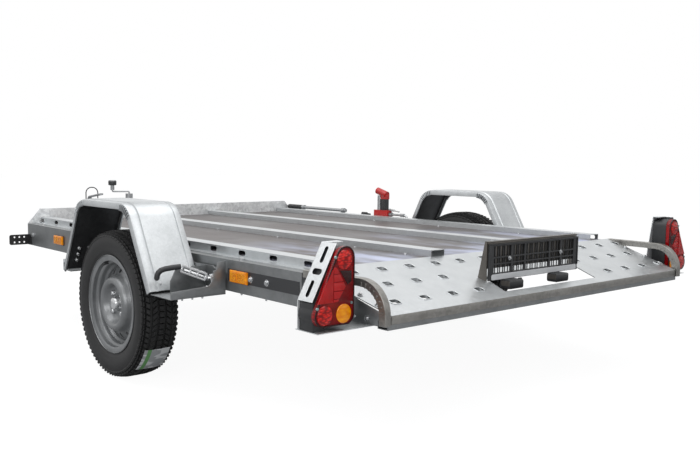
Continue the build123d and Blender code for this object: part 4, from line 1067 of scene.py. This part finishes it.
def lamp_brackets():
    """Folded carrier with a slotted wing beside each tail lamp."""
    x = BRACKET_FRONT
    top, foot = (949.0, 604.0), (1035.0, 448.0)
    outline = [(839, SHELF), (foot[0], SHELF), foot, top, (895, top[1])]
    back = facet(x - SHEET, outline, -SHEET, 0.5)
    shelf = block(LAMP_FACE - 4, x + 16, 804, 1029, SHELF - SHEET, SHELF - 0.2, 0.5)
    cap = block(x - 30, x, 895, top[0], top[1] - SHEET, top[1], 0.5)
    run = Vector((0, foot[0] - top[0], foot[1] - top[1]))
    length = run.length
    down = run.normalized()
    out = Vector((0, -down.z, down.y))
    rear = Vector((-1, 0, 0))
    start = spot(x, *top)

    def wing_spot(along, back_by, over=0.0):
        return start + (down * along + rear * back_by + out * over) / 1000

    wing = plate([wing_spot(0, 0), wing_spot(length, 0), wing_spot(length, 62), wing_spot(0, 62)],
                 out * (-SHEET / 1000))
    cutters = []
    for share, half_along, half_back in ((0.21, 25, 7.5), (0.50, 9, 19), (0.79, 25, 7.5)):
        loop = rounded_outline(half_along, half_back, min(half_along, half_back) - 0.2, 5)
        places = [wing_spot(length * share + a, 31 + b, 6) for a, b in loop]
        cutters.append(plate(places, out * -0.014))
    cut_out(wing, cutters)
    ease(wing, 0.5, 1, 50)
    brackets = pair([back, shelf, cap, wing], "slotted_lamp_brackets", "chassis",
                    "galvanised_bright", "lamp_bracket_zinc")
    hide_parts("lamp_brackets")


# ---- number plate
PLATE_X, PLATE_BOTTOM, SEAT_GAP = -1128.0, 436.0, 0.3
HOLDER_HALF, HOLDER_HEIGHT, HOLDER_DEPTH = 258.0, 122.0, 8.0
HOLDER_REAR, HOLDER_TOP = PLATE_X - HOLDER_DEPTH, PLATE_BOTTOM + HOLDER_HEIGHT
BRACKET_HALF, BRACKET_TOP = HOLDER_HALF + 4, HOLDER_TOP + 9
SLAT_SPACE, SLAT_HALF, SLAT_LEAN = 15, 1.6, 1.6
HOLDER_COLUMNS = ((0.045, 0.225), (0.25, 0.37), (0.39, 0.65), (0.67, 0.785), (0.81, 0.95))
HOLDER_ROWS = ((0.20, 0.42), (0.46, 0.60), (0.64, 0.93))


def ramp_height(x):
    """Height of the ramp's face at a station."""
    return RAMP_TOP - (DECK_REAR - x) * RAMP_FALL / RAMP_LENGTH


def plate_holder():
    """Openwork holder with crossed slats in its windows, and its blank silver strip."""
    rear, top, z0 = HOLDER_REAR, HOLDER_TOP, PLATE_BOTTOM
    slab = block(rear, PLATE_X, -HOLDER_HALF, HOLDER_HALF, z0, top)
    width = 2 * HOLDER_HALF
    windows, slats = [], []
    for start, end in HOLDER_COLUMNS:
        y0, y1 = HOLDER_HALF - end * width, HOLDER_HALF - start * width
        for low, high in HOLDER_ROWS:
            windows.append(block(rear - 3, PLATE_X + 3, y0, y1,
                                 z0 + low * HOLDER_HEIGHT, z0 + high * HOLDER_HEIGHT))
        count = int((y1 - y0) // SLAT_SPACE)
        for index in range(count):
            y = y0 + (index + 1) * (y1 - y0) / (count + 1)
            lean = SLAT_LEAN if index % 2 else -SLAT_LEAN
            slats.append(block(PLATE_X - 4, PLATE_X - 1, y - SLAT_HALF + lean, y + SLAT_HALF + lean,
                               z0 + 0.19 * HOLDER_HEIGHT, z0 + 0.94 * HOLDER_HEIGHT, 0.5, 1))
    cut_out(slab, windows)
    ease(slab, 0.8, 1, 50)
    lip = [block(rear - 3, rear + 1, y0, y1, low, high, 1.2) for y0, y1, low, high in (
        (-HOLDER_HALF, HOLDER_HALF, top - 5, top),
        (-HOLDER_HALF, -HOLDER_HALF + 5, z0 + 20, top - 5),
        (HOLDER_HALF - 5, HOLDER_HALF, z0 + 20, top - 5))]
    holder = joined([slab] + slats + lip)
    done(holder, "number_plate_holder", "chassis", "black_plastic")
    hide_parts("plate_holder")
    outline = [(y, z0 + 11 + z) for y, z in rounded_outline(248, 9.5, 6, 4)]
    strip = facet(rear - 0.2, outline, 2.2, 0.5, 1)
    done(strip, "blank_plate_strip", "chassis", "zinc_plated", "number_plate")


def plate_bracket():
    """Folded sheet behind and over the holder, with cheeks that stand on the ramp."""
    half, top = BRACKET_HALF, BRACKET_TOP
    sheets = [block(PLATE_X, PLATE_X + 2, -half, half, PLATE_BOTTOM + 40, top, 0.4),
              block(HOLDER_REAR, PLATE_X + 10, -half, half, top - 2, top, 0.6)]
    outline = [(PLATE_X, top), (PLATE_X + 10, top)]
    outline += [(x, ramp_height(x) + SEAT_GAP) for x in (PLATE_X + 36, PLATE_X)]
    for y in (-half, half - 2):
        sheets.append(plate([spot(x, y, z) for x, z in outline], (0, 0.002, 0), 0.4))
    bracket = joined(sheets)
    done(bracket, "number_plate_bracket", "chassis", "bracket_grey")
    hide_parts("plate_bracket")


def plate_lamps():
    """Two lamps and a clip that hang under the holder, and the screws round them."""
    hang = PLATE_BOTTOM - SEAT_GAP
    lamps, faces = [], []
    for y in (190, -78):
        lamps.append(block(PLATE_X - 44, PLATE_X, y - 75, y, hang - 30, hang, 6.0, 3))
        faces.append(block(PLATE_X - 40, PLATE_X - 6, y - 0.4, y + 1.0, hang - 20, hang - 3,
                           0.5, 1))
    lamps.append(block(PLATE_X - 20, PLATE_X - 12, 92, 108, hang - 22, hang, 1.5))
    lamps = joined(lamps)
    done(lamps, "number_plate_lamps", "chassis", "black_plastic")
    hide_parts("plate_lamps")
    done(joined(faces), "number_plate_lamp_windows", "chassis", "bracket_grey")
    bolts("plate_screws", "chassis",
          [(HOLDER_REAR, 152, 506, BACK), (HOLDER_REAR, -148, 508, BACK)], 5.5)
    bolts("plate_bracket_bolts", "chassis",
          [(PLATE_X + 1, y, BRACKET_TOP, UP) for y in (236, -240)], 4.5)


# ---- toggle latches
TRAY_REAR, TRAY_FRONT, TRAY_INNER, TRAY_OUTER, TRAY_HEIGHT = -510.0, -378.0, 883.0, 1098.0, 372.0
GRIP_RADIUS = 9.5


def latch_trays():
    """Tray behind each fender with a tall ear for the latch."""
    y0, y1, low = TRAY_INNER, TRAY_OUTER, TRAY_HEIGHT
    floor = block(TRAY_REAR, TRAY_FRONT, y0, y1, low - SHEET, low, 0.6)
    ear = [(y0, low - SHEET), (y1, low - SHEET), (y1, low + 24), (y0 + 68, low + 32),
           (y0 + 50, low + 52), (y0 + 50, low + 82), (y0 + 38, low + 84),
           (y0 + 34, low + 110), (y0, low + 114)]
    ear = facet(TRAY_REAR - SHEET, ear, -SHEET, 0.6)
    wall = [(y0 + 10, low), (y1 - 60, low), (y1 - 60, low + 42), (y1 - 84, low + 88),
            (y0 + 10, low + 88)]
    wall = facet(TRAY_FRONT - 28, wall, -SHEET, 0.6)
    trays = pair([floor, ear, wall], "folded_latch_trays", "swing_axle", "galvanised_frame")
    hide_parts("latch_trays")


def toggle_latches():
    """Windowed cage with its pins and draw rod, and the bent grip on the fender's foot."""
    start, end = spot(-430, 1009, 461), spot(-484, 926, 424)
    axis = (end - start).normalized()
    across = Vector((0, 0, 1)).cross(axis).normalized()
    upward = axis.cross(across)
    turn = Matrix((axis, across, upward)).transposed().to_4x4()
    place = Matrix.Translation(start) @ turn @ Matrix.Translation(-spot(0, 0, 0))
    length = (end - start).length * 1000
    parts = []
    walls = [((y, y + 2.5, -13.5, 13.5), (y - 2, y + 4.5, -8, 8)) for y in (-13, 10.5)]
    walls += [((-13, 13, z, z + 2.5), (-8, 8, z - 2, z + 5)) for z in (-13.5, 11)]
    for wall, window in walls:
        sheet = block(0, length * 0.86, *wall)
        cut_out(sheet, [block(length * s, length * (s + 0.2), *window)
                        for s in (0.07, 0.33, 0.59)])
        ease(sheet, 0.6, 1, 50)
        parts.append(sheet)
    for share in (0.03, 0.30, 0.56, 0.83):
        parts.append(bar((length * share, -16, 0), (length * share, 16, 0), 3.6, 14, 0.6))
    for y in (-6, 6):
        parts.append(bar((length * 0.1, y, -2), (length, y, -2), 3.0, 12, 0.5))
    cage = copied(joined(parts), [place])
    ear = TRAY_REAR + SEAT_GAP
    fittings = [bar((-484, 926, 424), (ear, 926, 424), 6, 18, 1.0),
                block(ear, ear + 4, 894, 940, 408, 440, 1.0),
                bar((-484, 912, 424), (-484, 940, 424), 7, 18, 1.2)]
    latches = pair([cage] + fittings, "chrome_latch_cages", "swing_axle", "zinc_plated",
                   "bright_steel")
    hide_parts("toggle_latches")

    knee = [(-404, 1088, 430), (-405, 1087, 440), (-407, 1083, 449), (-410, 1075, 456),
            (-414, 1062, 460), (-420, 1042, 463), (-430, 1011, 466)]
    pieces = []
    for a, b in zip(knee, knee[1:]):
        pieces.append(bar(a, b, GRIP_RADIUS, 20))
        pieces.append(primitive(OPS.primitive_uv_sphere_add, spot(*a), segments=20,
                                ring_count=12, radius=GRIP_RADIUS / 1000))
    grips = pair(pieces, "latch_lever_grips", "swing_axle", "black_plastic", smooth=60)
    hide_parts("latch_grips")
    tips = turned([(0, 0), (0, 7), (1.2, 6.4), (1.2, 0)], (-401.5, 1091, 436), (0.3, 0.9, 0.0), 16)
    pair([tips], "latch_lever_ends", "swing_axle", "zinc_plated", "bright_steel")


# ---- small fittings
def side_fittings():
    """Facets of the side markers and the dark blank band behind them."""
    band = block(-905, -518, 877, 878.2, 417, 460, 0.4, 1)
    pair([band], "side_band", "chassis", "black_plastic", "side_band")
    facets, frames = [], []
    for front in (961.0, -542.0):
        rear = front - 98
        facets.append(block(rear + 8, rear + 52, 888.4, 890.2, 423, 452, 0.7, 1))
        facets.append(block(rear + 56, front - 8, 888.4, 890.8, 423, 452, 0.7, 1))
        frames.append(block(rear - 2, front + 2, 877.0, 880.5, 415, 460, 1.0))
    pair(facets, "side_marker_facets", "chassis", "amber_lens", "amber_bright")
    pair(frames, "side_marker_bases", "chassis", "black_plastic")


def crank_knob():
    """Turned knob on the jockey wheel's crank."""
    knob = turned([(0, 0), (0, 20), (3, 26.5), (26, 27.5), (33, 24), (35, 0)],
                  (2226, -46, 647.5), (0, 0, 1), 28)
    done(knob, "jockey_crank_knob", "chassis", "black_plastic", smooth=50)


PUMP_Y = -842
HOSE_BARS = (  # start x, z, end x, z, radius, sides, eased edge, further out
    (586, 521, 625, 521, 10, 20, 2.0, 0), (560, 519, 590, 521, 6, 16, 0.0, 0),
)
UNION_BARS = (
    (366, 552, 400, 552, 6.5, 6, 0.8, 0), (330, 546, 368, 551, 4.0, 14, 0.0, 0),
    (400, 552, 412, 552, 8.5, 6, 0.8, 6), (474, 610, 474, 618, 9, 6, 0.8, 0),
    (506, 514, 506, 530, 6.5, 6, 0.8, 0),
)


def pump_fittings():
    """Hose end and unions that stand round the hand pump."""
    for rows, name, slot, finish in (
            (HOSE_BARS, "pump_hose_end", "black_plastic", None),
            (UNION_BARS, "pump_unions", "zinc_plated", "bright_steel")):
        bars = [bar((x0, PUMP_Y - out, z0), (x1, PUMP_Y - out, z1), radius, sides, edge)
                for x0, z0, x1, z1, radius, sides, edge, out in rows]
        done(joined(bars), name, "chassis", slot, finish)


# ---- rims
RIM_BARREL = [(66, 184.5), (65.2, 186), (63.2, 185.5), (62.2, 182), (62, 170), (60, 166.5),
              (56, 165.8), (49, 165), (45.5, 163.5), (42, 158), (38, 155), (27, 154), (22, 152),
              (18, 146.5), (13, 144)]
RIM_DISC = [(7, 145), (10, 139), (14, 133), (20, 123), (26, 113), (34, 107), (46, 103),
            (54, 99), (59, 93.5), (60.5, 87.5), (59, 81.5), (54, 76.5), (45, 72), (36, 67),
            (31, 60), (29, 50), (28, 24)]
VENTS, VENT_RADIUS = 14, 127


def spun_sheet(section, gauge, steps):
    """Sheet spun round the axle from (offset, radius) points."""
    piece = drawn_line([on_wheel(*point) for point in section])
    revolve(steps, WHEEL_HUB)
    seal()
    thicken(piece, gauge, 0.0)
    return piece


def rims():
    """Pressed wheels: welled barrel, dished disc with vents, and hub."""
    barrel = spun_sheet(RIM_BARREL + [(-o, r) for o, r in reversed(RIM_BARREL)], 3.0, 72)
    disc_sheet = spun_sheet(RIM_DISC, 4.0, 84)
    slot = plate([WHEEL_HUB + Vector((x / 1000, -0.02, (VENT_RADIUS + z) / 1000))
                  for x, z in rounded_outline(8.5, 12, 8, 5)], (0, 0.08, 0))
    to_hub = Matrix.Translation(WHEEL_HUB)
    moves = [to_hub @ Matrix.Rotation(2 * math.pi * index / VENTS, 4, "Y") @ to_hub.inverted()
             for index in range(VENTS)]
    cut_out(disc_sheet, [copied(slot, moves)])
    hub = turned([(-62, 0), (-62, 37), (-60, 38), (16, 38), (20, 60), (21.5, 62), (24, 62),
                  (25, 60.5), (25, 0)], TYRE_CENTRE, steps=40)
    left = joined([barrel, disc_sheet, hub])
    right = other_side(left)
    for side, piece in (("left", left), ("right", right)):
        done(piece, f"{side}_pressed_rim", f"wheel_{side}", "wheel_silver", smooth=35)
        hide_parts(f"rim_{side}")


add_camera()
set_world()
add_floor()
add_area_lamp("sky_panel", (-0.6, 0.6, 3.6), (0.0, 0.0, 0.4), size=(5.5, 4.0), power=120)
add_area_lamp("side_panel", (-3.4, 3.6, 2.0), (-0.3, 0.3, 0.4), size=(2.6, 1.6), power=45)
dress_cad_nodes()
wheels()
rims()
tyre_label()
fenders()
guard_hoops()
ramp()
tail_lamps()
lamp_brackets()
plate_holder()
plate_bracket()
plate_lamps()
latch_trays()
toggle_latches()
side_fittings()
crank_knob()
pump_fittings()
all_bolts()

SCENE.view_settings.view_transform = "Standard"
